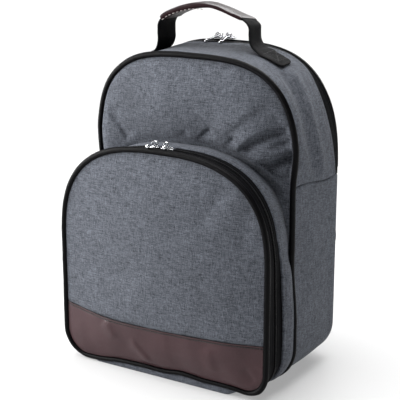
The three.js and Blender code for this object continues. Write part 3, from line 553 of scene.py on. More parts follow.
def upper_band():
    place = np.linspace(0, 1, 340)[:, None]
    across = 0.5 - 0.5 * np.cos(np.pi * np.linspace(0, 1, 60))[None]
    across = 0.5 * across + 0.5 * np.linspace(0, 1, 60)[None]
    y = SEAM_INSET + (zip_edge(place) - ZIP_GAP - SEAM_INSET) * across
    front, back = MAIN.over(place)
    swing = seam_swing(y) * (np.exp(-place / 0.05) - np.exp((place - 1) / 0.05))
    points = MAIN.at(front + swing, back + swing, y, upper_lift(place, y))
    from_zip = zip_edge(place) - y
    middle = smooth(across, 0, 0.15) * (1 - smooth(across, 0.85, 1))
    ends = smooth(place, 0, 0.02) * (1 - smooth(place, 0.98, 1))
    relief = 0.8 * middle * ends * unevenness(points, 38, 5) + folded_edge(from_zip, 1.6) + shoulder_fold(points)
    relief -= roof_sag(points)
    relief += 0.3 * np.exp(-(y - SEAM_INSET) / 7) * smooth(across, 0, 0.05) * unevenness(points, 7, 6)
    relief += 0.5 * np.exp(-(((from_zip - 4) / 2.5) ** 2))
    relief -= 1.3 * (1 - smooth(np.minimum(place, 1 - place), 0, 0.004))
    return wall("main_upper_band", points, relief=relief)


def lower_band():
    place = np.linspace(0, 1, 340)[:, None]
    front, back = MAIN.under(place)
    flat = np.linspace(SEAM_INSET, MAIN_DEPTH, 42)
    turned, drop = back_turn(np.linspace(0, BACK_TURN, 14)[1:])
    y = np.concatenate([flat, turned])[None]
    down = smooth(-MAIN_FRONT.at(front)[1][..., 1], 0.8, 1)
    on_ground = smooth(y, SEAM_INSET, 14) * (1 - smooth(y, MAIN_DEPTH - 14, MAIN_DEPTH))
    lift = side_lift(y) * (1 - down) + MAIN_FOOT * on_ground * down
    lift = lift + np.concatenate([np.zeros_like(flat), drop])[None]
    swing = seam_swing(y) * (np.exp((place - 1) / 0.05) - np.exp(-place / 0.05))
    points = MAIN.at(front + swing, back + swing, y, lift)
    standing = (1 - smooth(-MAIN_FRONT.at(front)[1][..., 1], 0.3, 0.8)) * smooth(y, 4, 22) * (1 - smooth(y, 80, 98))
    relief = standing * (0.9 * unevenness(points * [1, 1.6, 0.6], 42, 7) - 0.5)
    relief += 0.3 * np.exp(-(y - SEAM_INSET) / 7) * smooth(y, SEAM_INSET, 6) * unevenness(points, 7, 8)
    relief -= 1.3 * (1 - smooth(np.minimum(place, 1 - place), 0, 0.003))
    return wall("main_lower_band", points, relief=relief)


for band, node in ((upper_band(), "main_upper_gusset"), (lower_band(), "main_lower_gusset")):
    dress(band, GREY_CLOTH, "grey_cloth", node)

# The main piping: a cord in a bias-cut cover of black polyester, caught in the front seam all round.
# The cover is drawn tight, so it shines along its crest and ripples a little where it bends.


def tube(name, rings, closed=False, crisp=60):
    """Closed sweep through rings of points in mm; an open one has flat ends."""
    rings = np.asarray(rings, float)
    grid = np.arange(rings.shape[0] * rings.shape[1]).reshape(rings.shape[:2])
    grid = np.hstack([grid, grid[:, :1]])
    along = rings
    if closed:
        grid = np.vstack([grid, grid[:1]])
        along = np.vstack([rings, rings[:1]])
    long = lengths(along, 0).mean(1)
    middle = rings[len(rings) // 2]
    girth = lengths(np.vstack([middle, middle[:1]]), 0)
    spots = np.stack(np.meshgrid(long, girth, indexing="ij"), -1) / 1000
    sides = quads(grid).reshape(-1, 4).tolist()
    pattern = [quads(spots).reshape(-1, 2)]
    if not closed:
        sides += [grid[0, :-1].tolist(), grid[-1, :-1][::-1].tolist()]
        pattern += [spots[0, :-1], spots[-1, :-1][::-1]]
    return sewn_mesh(name, rings.reshape(-1, 3), sides, np.vstack(pattern), crisp)


def piping_cord(name, outline, y, count, sides=14, rise=None, squeeze=0.0):
    """Round cord along an outline, a little uneven in its run and its thickness.

    Along its foot it may rise off the ground and be squeezed thinner by a share.
    """
    spot, out = outline.at(np.arange(count) / count)
    line = np.stack([spot[:, 0], np.full(count, y), spot[:, 1]], -1)
    wander = 0.35 * unevenness(line, 26, 11)
    radius = 1.08 * PIPING_RADIUS * (1 + 0.035 * unevenness(line, 6, 12))
    if rise is not None:
        line[:, 2] += rise(line)
        radius = radius * (1 - squeeze * smooth(-out[:, 1], 0.7, 1))
    turn = np.arange(sides) / sides * 2 * np.pi
    across = (radius[:, None] * np.cos(turn) + wander[:, None])[..., None] * np.stack(
        [out[:, 0], np.zeros(count), out[:, 1]], -1)[:, None]
    ahead = (radius[:, None] * np.sin(turn))[..., None] * np.array([0, 1, 0])
    return tube(name, line[:, None] + across + ahead, closed=True)


def ribbed_weave():
    """Narrow tape or webbing: ribs along it, crossed by the weft; a height, and a shade that is painted shade in the
    hollows times a random tone for each yarn.
    """
    tree, given, result = effect(
        "Ribbed weave",
        {"Vector": ("Vector", None), "Rib": ("Float", 0.001), "Pick": ("Float", 0.0006), "Lean": ("Float", 0.0)},
        {"Height": "Float", "Shade": "Float"})
    split = wire(tree, "ShaderNodeSeparateXYZ", {0: given["Vector"]}).outputs
    across = calc(tree, "DIVIDE", split[1], given["Rib"])
    along = calc(tree, "MULTIPLY_ADD", across, given["Lean"], calc(tree, "DIVIDE", split[0], given["Pick"]))
    rib = calc(tree, "ABSOLUTE", calc(tree, "SINE", calc(tree, "MULTIPLY", across, math.pi)))
    step = calc(tree, "MULTIPLY", calc(tree, "FLOOR", across), 0.5)
    pick = calc(tree, "ABSOLUTE", calc(tree, "SINE", calc(tree, "MULTIPLY", calc(tree, "ADD", along, step), math.pi)))
    height = calc(tree, "MULTIPLY", calc(tree, "POWER", rib, 0.6), calc(tree, "MULTIPLY_ADD", pick, 0.6, 0.4))
    cell = wire(tree, "ShaderNodeCombineXYZ", {0: calc(tree, "FLOOR", along), 1: calc(tree, "FLOOR", across)})
    fleck = wire(tree, "ShaderNodeTexWhiteNoise", {"Vector": cell.outputs[0]}, noise_dimensions="2D").outputs[0]
    # Painted shade: the hollows between ribs and picks are darker, times a random tone for each yarn.
    depth, dye = calc(tree, "MULTIPLY_ADD", height, 0.6, 0.4), calc(tree, "MULTIPLY_ADD", fleck, 0.5, 0.75)
    shade = calc(tree, "MULTIPLY", depth, dye)
    fill(tree, result, {"Height": height, "Shade": shade})
    return tree


RIBBED = ribbed_weave()


def black_tape(name, color, rib, pick, lean, roughness, bump_depth, shine):
    """Black polyester tape or webbing with its own ribs, and a dull shine on what stands proud, partly real gloss and
    partly painted as lighter colour, with painted shade in the hollows.
    """
    made, tree, shader = blank_finish(name)
    weave = use(tree, RIBBED, on_cloth(tree), Rib=rib, Pick=pick, Lean=lean)
    worn = use(tree, HANDLING, on_body(tree), Size=0.012, Amount=0.3)["Value"]
    # The painted hollow shade, times the random handling patches, sets how far the colour lifts off black.
    strength = calc(tree, "MULTIPLY", weave["Shade"], worn)
    fill(tree, shader, {
        "Base Color": mixed(tree, strength, (0, 0, 0, 1), (*color, 1)),
        "Roughness": calc(tree, "MULTIPLY", worn, roughness), "Specular IOR Level": shine,
        "Normal": bumped(tree, weave["Height"], 0.6, bump_depth)})
    return made


PIPING_COVER = black_tape("black piping cover", (0.003, 0.0028, 0.0035), 0.0005, 0.0005, 1.0, 0.42, 0.00010, 0.06)
main_piping = piping_cord("main_piping", MAIN_FRONT, 0, 620)
dress(main_piping, PIPING_COVER, "black_trim", "main_front_piping")

# The main zip: a nylon coil on black woven tape, sewn under the folded edge of the upper band.
# It runs over the back edge of the bag from one side seam to the other.
# The coil's loops and the seam's stitches are set out along their lines by Geometry Nodes.
ZIP_TAPE = black_tape("black zip tape", (0.004, 0.004, 0.005), 0.0011, 0.0007, 0.5, 0.65, 0.00025, 0.05)
COIL_ON_TOP, COIL_AT_SIDES = -2.2, 7.1


def nylon():
    """Extruded black nylon, a little shiny."""
    made, tree, shader = blank_finish("black nylon coil")
    worn = use(tree, HANDLING, on_body(tree), Size=0.004, Amount=0.4)["Value"]
    fill(tree, shader, {
        "Base Color": mixed(tree, worn, (0.004, 0.004, 0.005, 1), (0.007, 0.007, 0.008, 1)),
        "Roughness": calc(tree, "MULTIPLY", worn, 0.34), "Specular IOR Level": 0.15})
    return made


def row_tree():
    """Geometry Nodes tree: small rounded pieces set out along a line, upright on its "out" attribute."""
    tree = bpy.data.node_groups.new("Row along a line", "GeometryNodeTree")
    for label, kind in (("Geometry", "Geometry"), ("Pitch", "Float"), ("Size", "Vector"), ("Stagger", "Float"),
                        ("Lean", "Float"), ("Material", "Material")):
        tree.interface.new_socket(label, in_out="INPUT", socket_type="NodeSocket" + kind)
    tree.interface.new_socket("Geometry", in_out="OUTPUT", socket_type="NodeSocketGeometry")
    given = tree.nodes.new("NodeGroupInput").outputs
    line = wire(tree, "GeometryNodeMeshToCurve", {"Mesh": given["Geometry"]})
    even = wire(tree, "GeometryNodeResampleCurve", {"Curve": line.outputs[0], "Length": given["Pitch"]}, mode="LENGTH")
    out = wire(tree, "GeometryNodeInputNamedAttribute", {"Name": "out"}, data_type="FLOAT_VECTOR")
    tangent = tree.nodes.new("GeometryNodeInputTangent")
    upright = wire(tree, "FunctionNodeAxesToRotation",
                   {"Primary Axis": out.outputs[0], "Secondary Axis": tangent.outputs[0]},
                   primary_axis="Z", secondary_axis="X")
    lean = wire(tree, "ShaderNodeCombineXYZ", {2: given["Lean"]})
    turned = wire(tree, "FunctionNodeRotateRotation",
                  {"Rotation": upright.outputs[0], "Rotate By": lean.outputs[0]}, rotation_space="LOCAL")
    bead = wire(tree, "GeometryNodeMeshUVSphere", {"Segments": 8, "Rings": 5, "Radius": 0.5})
    soft = wire(tree, "GeometryNodeSetShadeSmooth", {"Geometry": bead.outputs[0]})
    set_out = wire(tree, "GeometryNodeInstanceOnPoints",
                   {"Points": even.outputs[0], "Instance": soft.outputs[0], "Rotation": turned.outputs[0],
                    "Scale": given["Size"]})
    index = tree.nodes.new("GeometryNodeInputIndex")
    side = calc(tree, "MULTIPLY_ADD", calc(tree, "MODULO", index.outputs[0], 2.0), 2.0, -1.0)
    offset = wire(tree, "ShaderNodeCombineXYZ", {1: calc(tree, "MULTIPLY", side, given["Stagger"])})
    staggered = wire(tree, "GeometryNodeTranslateInstances",
                     {"Instances": set_out.outputs[0], "Translation": offset.outputs[0]})
    real = wire(tree, "GeometryNodeRealizeInstances", {"Geometry": staggered.outputs[0]})
    dyed = wire(tree, "GeometryNodeSetMaterial", {"Geometry": real.outputs[0], "Material": given["Material"]})
    wire(tree, "NodeGroupOutput", {0: dyed.outputs[0]})
    return tree


ROW = row_tree()


def as_shaped(holder):
    """Mesh of an object as its modifiers or its curve shape it."""
    return bpy.data.meshes.new_from_object(holder.evaluated_get(bpy.context.evaluated_depsgraph_get()))


def row_along(name, lines, pitch, size, material, stagger=0.0, lean=0.0):
    """Plain mesh of pieces along lines, each given as points in mm and the directions out of the surface."""
    points = np.vstack([line for line, out in lines])
    starts = np.cumsum([0] + [len(line) for line, out in lines])
    edges = [(i, i + 1) for a, b in zip(starts, starts[1:]) for i in range(a, b - 1)]
    mesh = bpy.data.meshes.new(name + "_line")
    mesh.from_pydata(placed(points).tolist(), edges, [])
    outs = mesh.attributes.new("out", "FLOAT_VECTOR", "POINT")
    outs.data.foreach_set("vector", np.vstack([out for line, out in lines]).astype(np.float32).ravel())
    holder = added(name, mesh)
    modifier = holder.modifiers.new("Row", "NODES")
    modifier.node_group = ROW
    sockets = {item.name: item.identifier for item in ROW.interface.items_tree if item.in_out == "INPUT"}
    values = {"Pitch": pitch / 1000, "Size": [s / 1000 for s in size], "Stagger": stagger / 1000, "Lean": lean,
              "Material": material}
    for label, value in values.items():
        modifier[sockets[label]] = value
    made = as_shaped(holder)
    holder.modifiers.clear()
    holder.data = made
    made.name = name
    return holder


def thread(name, color):
    """Twisted polyester thread, with painted shade in the grooves of its twist."""
    made, tree, shader = blank_finish(name)
    wave = wire(tree, "ShaderNodeTexWave", {"Vector": on_body(tree), "Scale": 900.0, "Distortion": 1.0})
    twist = wave.outputs["Fac"]
    # Painted shade: the low bands of the twist, where its bump sinks, are darker.
    fill(tree, shader, {
        "Base Color": mixed(tree, twist, (*[c * 0.6 for c in color], 1), (*color, 1)), "Roughness": 0.6,
        "Sheen Weight": 0.2, "Normal": bumped(tree, twist, 0.4, 0.0001)})
    return made


NYLON = nylon()
GREY_THREAD = thread("grey thread", (0.1, 0.105, 0.115))
COIL_LOOP = (1.05, 3.4, 1.7)
COIL_PITCH = 0.95
COIL_STAGGER, COIL_LEAN = 0.55, 0.12
STITCH = (2.7, 0.55, 0.45)
STITCH_PITCH, STITCH_INSET = 3.4, 2.6
TAPE = 1.2


def main_zip_line(place, way, lift):
    """Points on the main zip at a way round the back edge, and the directions out of it."""
    y, drop = back_turn(way)
    turn = np.clip(way / BACK_ROUNDING, 0, math.pi / 2)
    shares = MAIN.over(place)
    points = MAIN.at(*shares, y + lift * np.sin(turn), drop + lift * np.cos(turn))
    away = MAIN.at(*shares, y + (lift + 1) * np.sin(turn), drop + (lift + 1) * np.cos(turn))
    return points, away - points


def main_zip():
    place = np.linspace(0, 1, 320)
    begin = zip_edge(place) + ZIP_GAP - MAIN_DEPTH
    way = begin[:, None] + (BACK_TURN - begin)[:, None] * np.linspace(0, 1, 30)
    points = main_zip_line(place[:, None], way, np.full_like(way, -0.4))[0]
    coil_way = COIL_ON_TOP + (COIL_AT_SIDES - COIL_ON_TOP) * smooth(np.abs(2 * place - 1), 0.4, 1)
    from_coil = way - coil_way[:, None]
    ridges = 0.45 * np.exp(-(((np.abs(from_coil) - 4.6) / 1.3) ** 2))
    tape = wall("main_zip_tape", points, TAPE, ridges)
    middle = tuple(a[4:-4] for a in main_zip_line(place, coil_way, np.full(320, 0.15)))
    return tape, row_along("main_zip_coil", [middle], COIL_PITCH, COIL_LOOP, NYLON, COIL_STAGGER, COIL_LEAN)


def main_band_stitches():
    place = np.linspace(0.01, 0.99, 300)
    y = zip_edge(place) - STITCH_INSET
    seam = MAIN.raised(MAIN.over(place), y, upper_lift(place, y) + 0.35)
    return row_along("main_band_stitches", [seam], STITCH_PITCH, STITCH, GREY_THREAD)


main_tape, main_coil = main_zip()
dress(main_tape, ZIP_TAPE, "black_trim", "main_zipper")
dress(main_coil, NYLON, "black_trim")
dress(main_band_stitches(), GREY_THREAD, "grey_cloth")

# The pocket's bands, in the same grey cloth: one behind the zip, over the arch, and one under the pocket.
# Both are sewn flat to the main front wall; the front edge of the upper one is folded over the zip tape.
POCKET_HALF, POCKET_FOOT, POCKET_CORNER, POCKET_LEAN = 141, 7, 31, -7
POCKET_FRONT = Arch(POCKET_HALF, 275, 151, 2.7, POCKET_FOOT, POCKET_CORNER, shift=POCKET_LEAN)
POCKET_BACK = Arch(**POCKET_SHOULDER, foot=9, corner=40, pinch=5)
POCKET_DEPTH = 58
POCKET_INSIDE = np.array([-5, -25, 130])
POCKET_FRONT_Y = -POCKET_DEPTH + SEAM_INSET
POCKET_ZIP_BACK_Y = -28
POCKET_BACK_Y = -CLOTH / 2 - 0.3
POCKET_SEAMS = [outline.share_where(outline.x >= outline.corner_at) for outline in (POCKET_FRONT, POCKET_BACK)]
POCKET = Skin(POCKET_FRONT, POCKET_BACK, -POCKET_DEPTH, POCKET_BACK_Y, POCKET_SEAMS)
POCKET_CLOTH = 1.6
FOLD_SEAM = 3.6
POCKET_BAND_LIFT = curve([(-31, 0.9), (-28, 1.6), (-19, 2.4), (-9, 1.5), (-1.3, 0)])
SIDE_BULGE = curve([(0, 3), (15, 3.8), (49, 4.6), (80, 4.9), (114, 5.6), (135, 5.4), (148, 4), (158, 1.2), (167, 0.2),
                    (176, 0.6), (200, 0.4), (280, 0)])


def pocket_bulge(place, y):
    """How far the loaded pocket pushes its band out at the sides, most of all towards the back."""
    bare = POCKET.at(*POCKET.over(place), y, np.zeros_like(y))
    return SIDE_BULGE(bare[..., 2]) * smooth(y, -30, -6) * smooth(np.abs(bare[..., 0]), 60, 110)


def zip_fold(place):
    """Depth of the band's folded edge along the zip, further back down the sides than over the arch."""
    level = POCKET.at(*POCKET.over(place), np.full_like(place, POCKET_ZIP_BACK_Y), np.zeros_like(place))
    return POCKET_ZIP_BACK_Y + 6.5 * (1 - smooth(level[..., 2], 150, 190))


def pocket_band():
    place = np.linspace(0, 1, 340)[:, None]
    fold = zip_fold(place) - FOLD_SEAM / 2
    y = fold + (POCKET_BACK_Y - fold) * np.linspace(0, 1, 30)[None]
    points = POCKET.at(*POCKET.over(place), y, POCKET_BAND_LIFT(y) + pocket_bulge(place, y))
    from_fold = y - y[:, :1]
    free = smooth(from_fold, 1, 7) * (1 - smooth(y, -6, -1.5))
    ends = smooth(place, 0, 0.02) * (1 - smooth(place, 0.98, 1))
    relief = folded_edge(from_fold, 1.5) + ends * free * 0.8 * unevenness(points, 26, 21)
    relief += 0.3 * np.exp(-from_fold / 5) * smooth(from_fold, 0, 1) * unevenness(points, 8, 22)
    relief -= 0.5 * np.exp(-(((from_fold - FOLD_SEAM) / 0.8) ** 2))
    return wall("pocket_band", points, POCKET_CLOTH, relief, inside=POCKET_INSIDE)


FOOT_RISE = curve([(-150, 0), (-132, -1.6), (-115, -2.8), (-97, -2.2), (-70, 1), (-32, 2.4), (-3, 2.2), (22, 5.0),
                   (34, 4.4), (47, 3.2), (77, 3.0), (104, 1.5), (118, -0.8), (134, -3.5), (150, 0)])


def foot_rise(points):
    """How far the loaded pocket's foot seam strays from its straight line at points in mm."""
    return FOOT_RISE(points[..., 0]) * (1 - smooth(points[..., 2], 9, 60))


def pocket_bottom():
    place = np.linspace(0, 1, 160)[:, None]
    y = np.concatenate([np.linspace(-57, -48, 24), np.linspace(-46, POCKET_BACK_Y, 24)])[None] * np.ones_like(place)
    inside = smooth(place, 0, 0.07) * (1 - smooth(place, 0.9, 1))
    ground = 7 + 2 * (y + POCKET_DEPTH) / (POCKET_BACK_Y + POCKET_DEPTH)
    on_ground = smooth(y, -57, -52.5) * (1 - smooth(y, -12, POCKET_BACK_Y))
    lift = (0.5 * (1 - inside) + ground * inside) * on_ground
    points = POCKET.at(*POCKET.under(place), y, lift)
    points[..., 2] += foot_rise(points) * (1 - on_ground) * (1 - smooth(y, -40, -20))
    points[..., 1] -= 5.5 * inside * np.sin(np.pi * np.clip((y + 57) / 9, 0, 1))
    relief = 0.3 * (1 - on_ground) * smooth(y, POCKET_FRONT_Y, -53) * unevenness(points, 16, 23)
    return wall("pocket_bottom_band", points, relief=relief, inside=POCKET_INSIDE)


for band, node in ((pocket_band(), "pocket_gusset"), (pocket_bottom(), "pocket_bottom")):
    dress(band, GREY_CLOTH, "grey_cloth", node)

# The pocket zip: the same coil and tape as the main one, between the piping and the folded band.
# It starts and ends at the bottom corners of the pocket.


def pocket_coil_y(place):
    return (POCKET_FRONT_Y + zip_fold(place)) / 2


def pocket_zip():
    place = np.linspace(0, 1, 320)
    y = POCKET_FRONT_Y + (zip_fold(place) - POCKET_FRONT_Y)[:, None] * np.linspace(0, 1, 40)
    lift = 0.7 * smooth(y, POCKET_FRONT_Y, -48) - 0.6
    points = POCKET.at(*POCKET.over(place[:, None]), y, lift)
    from_coil = np.abs(y - pocket_coil_y(place)[:, None])
    ridges = 0.7 * np.exp(-(((from_coil - 5.2) / 1.2) ** 2)) + 0.25 * unevenness(points, 24, 24)
    tape = wall("pocket_zip_tape", points, TAPE, ridges, inside=POCKET_INSIDE)
    run = place[3:-3]
    middle = POCKET.raised(POCKET.over(run), pocket_coil_y(run), np.full_like(run, 0.75))
    return tape, row_along("pocket_zip_coil", [middle], COIL_PITCH, COIL_LOOP, NYLON, COIL_STAGGER, COIL_LEAN)


def pocket_band_stitches():
    place = np.linspace(0.01, 0.99, 300)
    y = zip_fold(place) + FOLD_SEAM / 2
    seam = POCKET.raised(POCKET.over(place), y, POCKET_BAND_LIFT(y) + pocket_bulge(place, y) - 0.1)
    return row_along("pocket_band_stitches", [seam], STITCH_PITCH, STITCH, GREY_THREAD)


pocket_tape, pocket_coil = pocket_zip()
dress(pocket_tape, ZIP_TAPE, "black_trim", "pocket_zipper")
dress(pocket_coil, NYLON, "black_trim")
dress(pocket_band_stitches(), GREY_THREAD, "grey_cloth")

# The pocket front: one full wall of grey cloth, and along its foot a band of brown leather-look sheet.
# The band's upper edge is turned under and stitched down over the cloth; the piping holds the rest.
POCKET_CROWN = 15
POCKET_HUB = np.array([8, 128])
POCKET_RIM = POCKET_FRONT.rim(720, SEAM_INSET)
POCKET_CREASES = [([(98, 260), (78, 238), (60, 212), (46, 188)], 1.7, 8, 13),
                  ([(122, 232), (108, 200), (100, 165)], 1.2, 8, 14)]
BAND_EDGE = curve([(-160, 72), (-80, 64.5), (0, 65.5), (70, 68), (150, 70)])


def pocket_crown(spot):
    """Depth of the full pocket front at points in its plane, and their share of the way out to the seam."""
    arms = POCKET_RIM - POCKET_HUB
    angle = np.arctan2(arms[:, 1], arms[:, 0])
    order = np.argsort(angle)
    arm = spot - POCKET_HUB
    turn = np.arctan2(arm[..., 1], arm[..., 0])
    reach = np.interp(turn, angle[order], np.linalg.norm(arms, axis=1)[order], period=2 * np.pi)
    share = np.clip(np.linalg.norm(arm, axis=-1) / reach, 0, 1)
    blunt = (np.hypot(share, 0.2) - 0.2) / (math.hypot(1, 0.2) - 0.2)
    power = np.interp(np.abs(turn), [0, 0.7, 1.6, 2.5, np.pi], [1.9, 2.2, 3.4, 1.5, 1.1])
    return -POCKET_DEPTH - CLOTH / 2 - POCKET_CROWN * (1 - blunt**power), share


def pocket_front_wall():
    above = POCKET_RIM[POCKET_RIM[:, 1] > BAND_EDGE(POCKET_RIM[:, 0])]
    start = np.argmax(np.linalg.norm(np.diff(above, axis=0, append=above[:1]), axis=1))
    above = np.roll(above, -start - 1, 0)
    x = np.linspace(above[-1, 0], above[0, 0], 130)[1:-1]
    loop = np.vstack([above, np.column_stack([x, BAND_EDGE(x) - 4])])
    middle = np.array([POCKET_LEAN, 165])
    share = np.concatenate([[1, 0.996, 0.99, 0.98], np.linspace(0.965, 0.05, 52)])
    flat = middle + (loop - middle) * share[:, None, None]
    y, out = pocket_crown(flat)
    points = np.stack([flat[..., 0], y, flat[..., 1]], -1)
    free = 1 - smooth(out, 0.93, 1)
    relief = free * (0.9 * unevenness(points, 70, 31) + 0.3 * unevenness(points, 22, 32))
    relief += free * sum(crease(points, *row) for row in POCKET_CREASES)
    relief -= 1.6 * np.exp(-np.clip(flat[..., 1] - BAND_EDGE(flat[..., 0]), 0, None) / 1.5)
    relief += 0.35 * np.exp(-(1 - out) * 130 / 7) * smooth(1 - out, 0, 0.012) * unevenness(points, 8, 33)
    return wall("pocket_front_wall", points, relief=relief, pattern=flat / 1000, loop=True, inside=POCKET_INSIDE)


def leather_grain():
    """Pressed leather grain: small rounded cells with creases between, the creases painted darker as painted shade, and
    a broad drift of tone.
    """
    tree, given, result = effect(
        "Leather grain",
        {"Vector": ("Vector", None), "Cell": ("Float", 0.0012), "Light": ("Color", (0.2, 0.1, 0.1, 1)),
         "Dark": ("Color", (0.1, 0.05, 0.05, 1))},
        {"Color": "Color", "Height": "Float", "Roughness": "Float"})
    per_metre = calc(tree, "DIVIDE", 1.0, given["Cell"])
    shift = scaled(tree, speckle(tree, given["Vector"], 300.0, 1.0).outputs[1], 0.0006)
    moved = wire(tree, "ShaderNodeVectorMath", {0: given["Vector"], 1: shift}, operation="ADD")
    cells = wire(tree, "ShaderNodeTexVoronoi", {"Vector": moved.outputs[0], "Scale": per_metre},
                 feature="DISTANCE_TO_EDGE", voronoi_dimensions="2D")
    dome = wire(tree, "ShaderNodeMapRange", {0: cells.outputs[0], 1: 0.0, 2: 0.22},
                interpolation_type="SMOOTHSTEP").outputs[0]
    drift = speckle(tree, given["Vector"], 22.0, 4.0).outputs[0]
    fine = speckle(tree, given["Vector"], 1600.0, 2.0).outputs[0]
    # Painted shade in the creases between the cells, added to a random drift of tone.
    tone = calc(tree, "MULTIPLY_ADD", dome, 0.3, calc(tree, "MULTIPLY_ADD", drift, 1.1, -0.2))
    fill(tree, result, {
        "Color": mixed(tree, tone, given["Dark"], given["Light"]),
        "Height": calc(tree, "MULTIPLY_ADD", fine, 0.15, dome),
        "Roughness": calc(tree, "MULTIPLY_ADD", drift, 0.2, calc(tree, "MULTIPLY_ADD", dome, -0.1, 0.42))})
    return tree


GRAIN = leather_grain()


def brown_leather(name, light, dark, gloss, shine=0.25, seams=(), polish=0.0):
    """Brown leather-look sheet: painted shade in dark lines along its seam and stitch grooves, so deep below its cut
    edge, and polish from handling.
    """
    made, tree, shader = blank_finish(name)
    grain = use(tree, GRAIN, on_cloth(tree), Cell=0.0011, Light=(*light, 1), Dark=(*dark, 1))
    color = grain["Color"]
    depth = wire(tree, "ShaderNodeSeparateXYZ", {0: on_cloth(tree)}).outputs[1]
    # Each line is painted shade: near-black mixed into the colour along a groove, where shade falls.
    for below, half_width, strength in seams:
        away = calc(tree, "ABSOLUTE", calc(tree, "ADD", depth, below / 1000))
        line = wire(tree, "ShaderNodeMapRange", {0: away, 1: 0.0, 2: half_width / 1000, 3: strength, 4: 0.0},
                    interpolation_type="SMOOTHSTEP")
        color = mixed(tree, line.outputs[0], color, (0.002, 0.001, 0.001, 1))
    fill(tree, shader, {
        "Base Color": color, "Roughness": calc(tree, "MULTIPLY", grain["Roughness"], gloss),
        "Specular IOR Level": shine, "Normal": bumped(tree, grain["Height"], 0.35, 0.0002)})
    if polish:
        handled = wire(tree, "ShaderNodeAttribute", attribute_name="handled").outputs["Fac"]
        fill(tree, shader, {"Coat Weight": calc(tree, "MULTIPLY", handled, polish), "Coat Roughness": 0.28})
    return made


LEATHER = 1.2
LEATHER_SEAM = 2.9
# The band's seam lines are painted shade: one in the groove along its top edge, one in the stitch groove below it.
BROWN_LEATHER = brown_leather("brown leather-look sheet", (0.066, 0.031, 0.035), (0.03, 0.014, 0.0165), 0.6,
                              seams=[(0, 1.3, 0.95), (LEATHER_SEAM, 1.4, 1.0)])
BROWN_THREAD = thread("brown thread", (0.012, 0.007, 0.008))
BAND_CREASES = [([(-46, 48), (-34, 34), (-16, 15)], -1.8, 4, 9), ([(-84, 62), (-66, 38)], -1.2, 6, 9),
                ([(62, 60), (66, 40), (70, 22)], -1.4, 7, 10), ([(108, 42), (122, 22)], 1.2, 4, 7)]


def leather_band():
    turn = np.linspace(-np.pi / 2, np.pi / 2, 240)
    share = 0.5 * np.sin(turn) + 0.5 * turn / (np.pi / 2)
    x = POCKET_LEAN + (POCKET_HALF - SEAM_INSET - 0.2) * share
    into_corner = np.maximum(np.abs(x - POCKET_LEAN) - (POCKET_HALF - POCKET_CORNER), 0)
    bottom = POCKET_FOOT + POCKET_CORNER - np.sqrt((POCKET_CORNER - SEAM_INSET) ** 2 - into_corner**2)
    top = BAND_EDGE(x)
    up = np.linspace(0, 1, 40)[None] ** 0.8
    z = bottom[:, None] + (top - bottom)[:, None] * up
    flat = np.stack([x[:, None] * np.ones_like(z), z], -1)
    y, out = pocket_crown(flat)
    points = np.stack([flat[..., 0], y, z], -1)
    from_edge = top[:, None] - z
    relief = -0.3 * np.exp(-from_edge / 0.8) - 0.4 * np.exp(-(((from_edge - LEATHER_SEAM) / 0.7) ** 2))
    points[..., 2] += foot_rise(points)
    relief += 1.4 * np.exp(-z / 14) * smooth(1 - out, 0, 0.05)
    free = 1 - smooth(out, 0.94, 1)
    folds = sum(crease(points, *row) for row in BAND_CREASES)
    relief += free * (1.5 * unevenness(points * [1, 1, 0.45], 34, 41) + folds)
    relief += 0.4 * np.exp(-(1 - out) * 12) * smooth(1 - out, 0, 0.03) * unevenness(points * [1, 1, 0.4], 11, 42)
    cut = np.stack([flat[..., 0], -from_edge], -1) / 1000
    return wall("leather_band", points, LEATHER, relief, pattern=cut, inside=POCKET_INSIDE)


def leather_band_stitches():
    x = np.linspace(-142, 127, 160)
    z = BAND_EDGE(x) - LEATHER_SEAM
    line = np.column_stack([x, pocket_crown(np.column_stack([x, z]))[0] - 0.1, z])
    seam = (line, np.tile([0.0, -1.0, 0.1], (len(x), 1)))
    return row_along("leather_band_stitches", [seam], STITCH_PITCH, STITCH, BROWN_THREAD)


pocket_wall = pocket_front_wall()
dress(pocket_wall, GREY_CLOTH, "grey_cloth", "pocket_front_panel")
leather = leather_band()
dress(leather, BROWN_LEATHER, "brown_leather", "pocket_base_band")
band_seam = leather_band_stitches()
dress(band_seam, BROWN_THREAD, "brown_leather")

# The pocket piping: a cord in a black polyester cover like the main one, caught in the pocket's front seam.
# Along the foot it follows the loaded seam, and the weight of the bag squeezes it thinner.
pocket_piping = piping_cord("pocket_piping", POCKET_FRONT, -POCKET_DEPTH, 560, rise=foot_rise, squeeze=0.22)
dress(pocket_piping, PIPING_COVER, "black_trim", "pocket_front_piping")

# The carrying handle: a strap of black woven webbing in a loop over the top of the bag.
# Both its ends lie on the upper band and are sewn flat to it.
HANDLE_Y = 61
HANDLE_WIDTH = 38
HANDLE_THICKNESS = 2.4
HANDLE_SEAT = 0.9 + HANDLE_THICKNESS / 2
HANDLE_TWIST = math.radians(9)
HANDLE_END = 7
HANDLE_LOOP = [(-76, 384), (-76, 395), (-75, 406), (-67, 415), (-49, 423), (-28, 428), (-10, 428.5), (6, 425.5),
               (24, 419.5), (40, 414), (46.5, 408), (47, 400), (48, 391), (53, 384)]


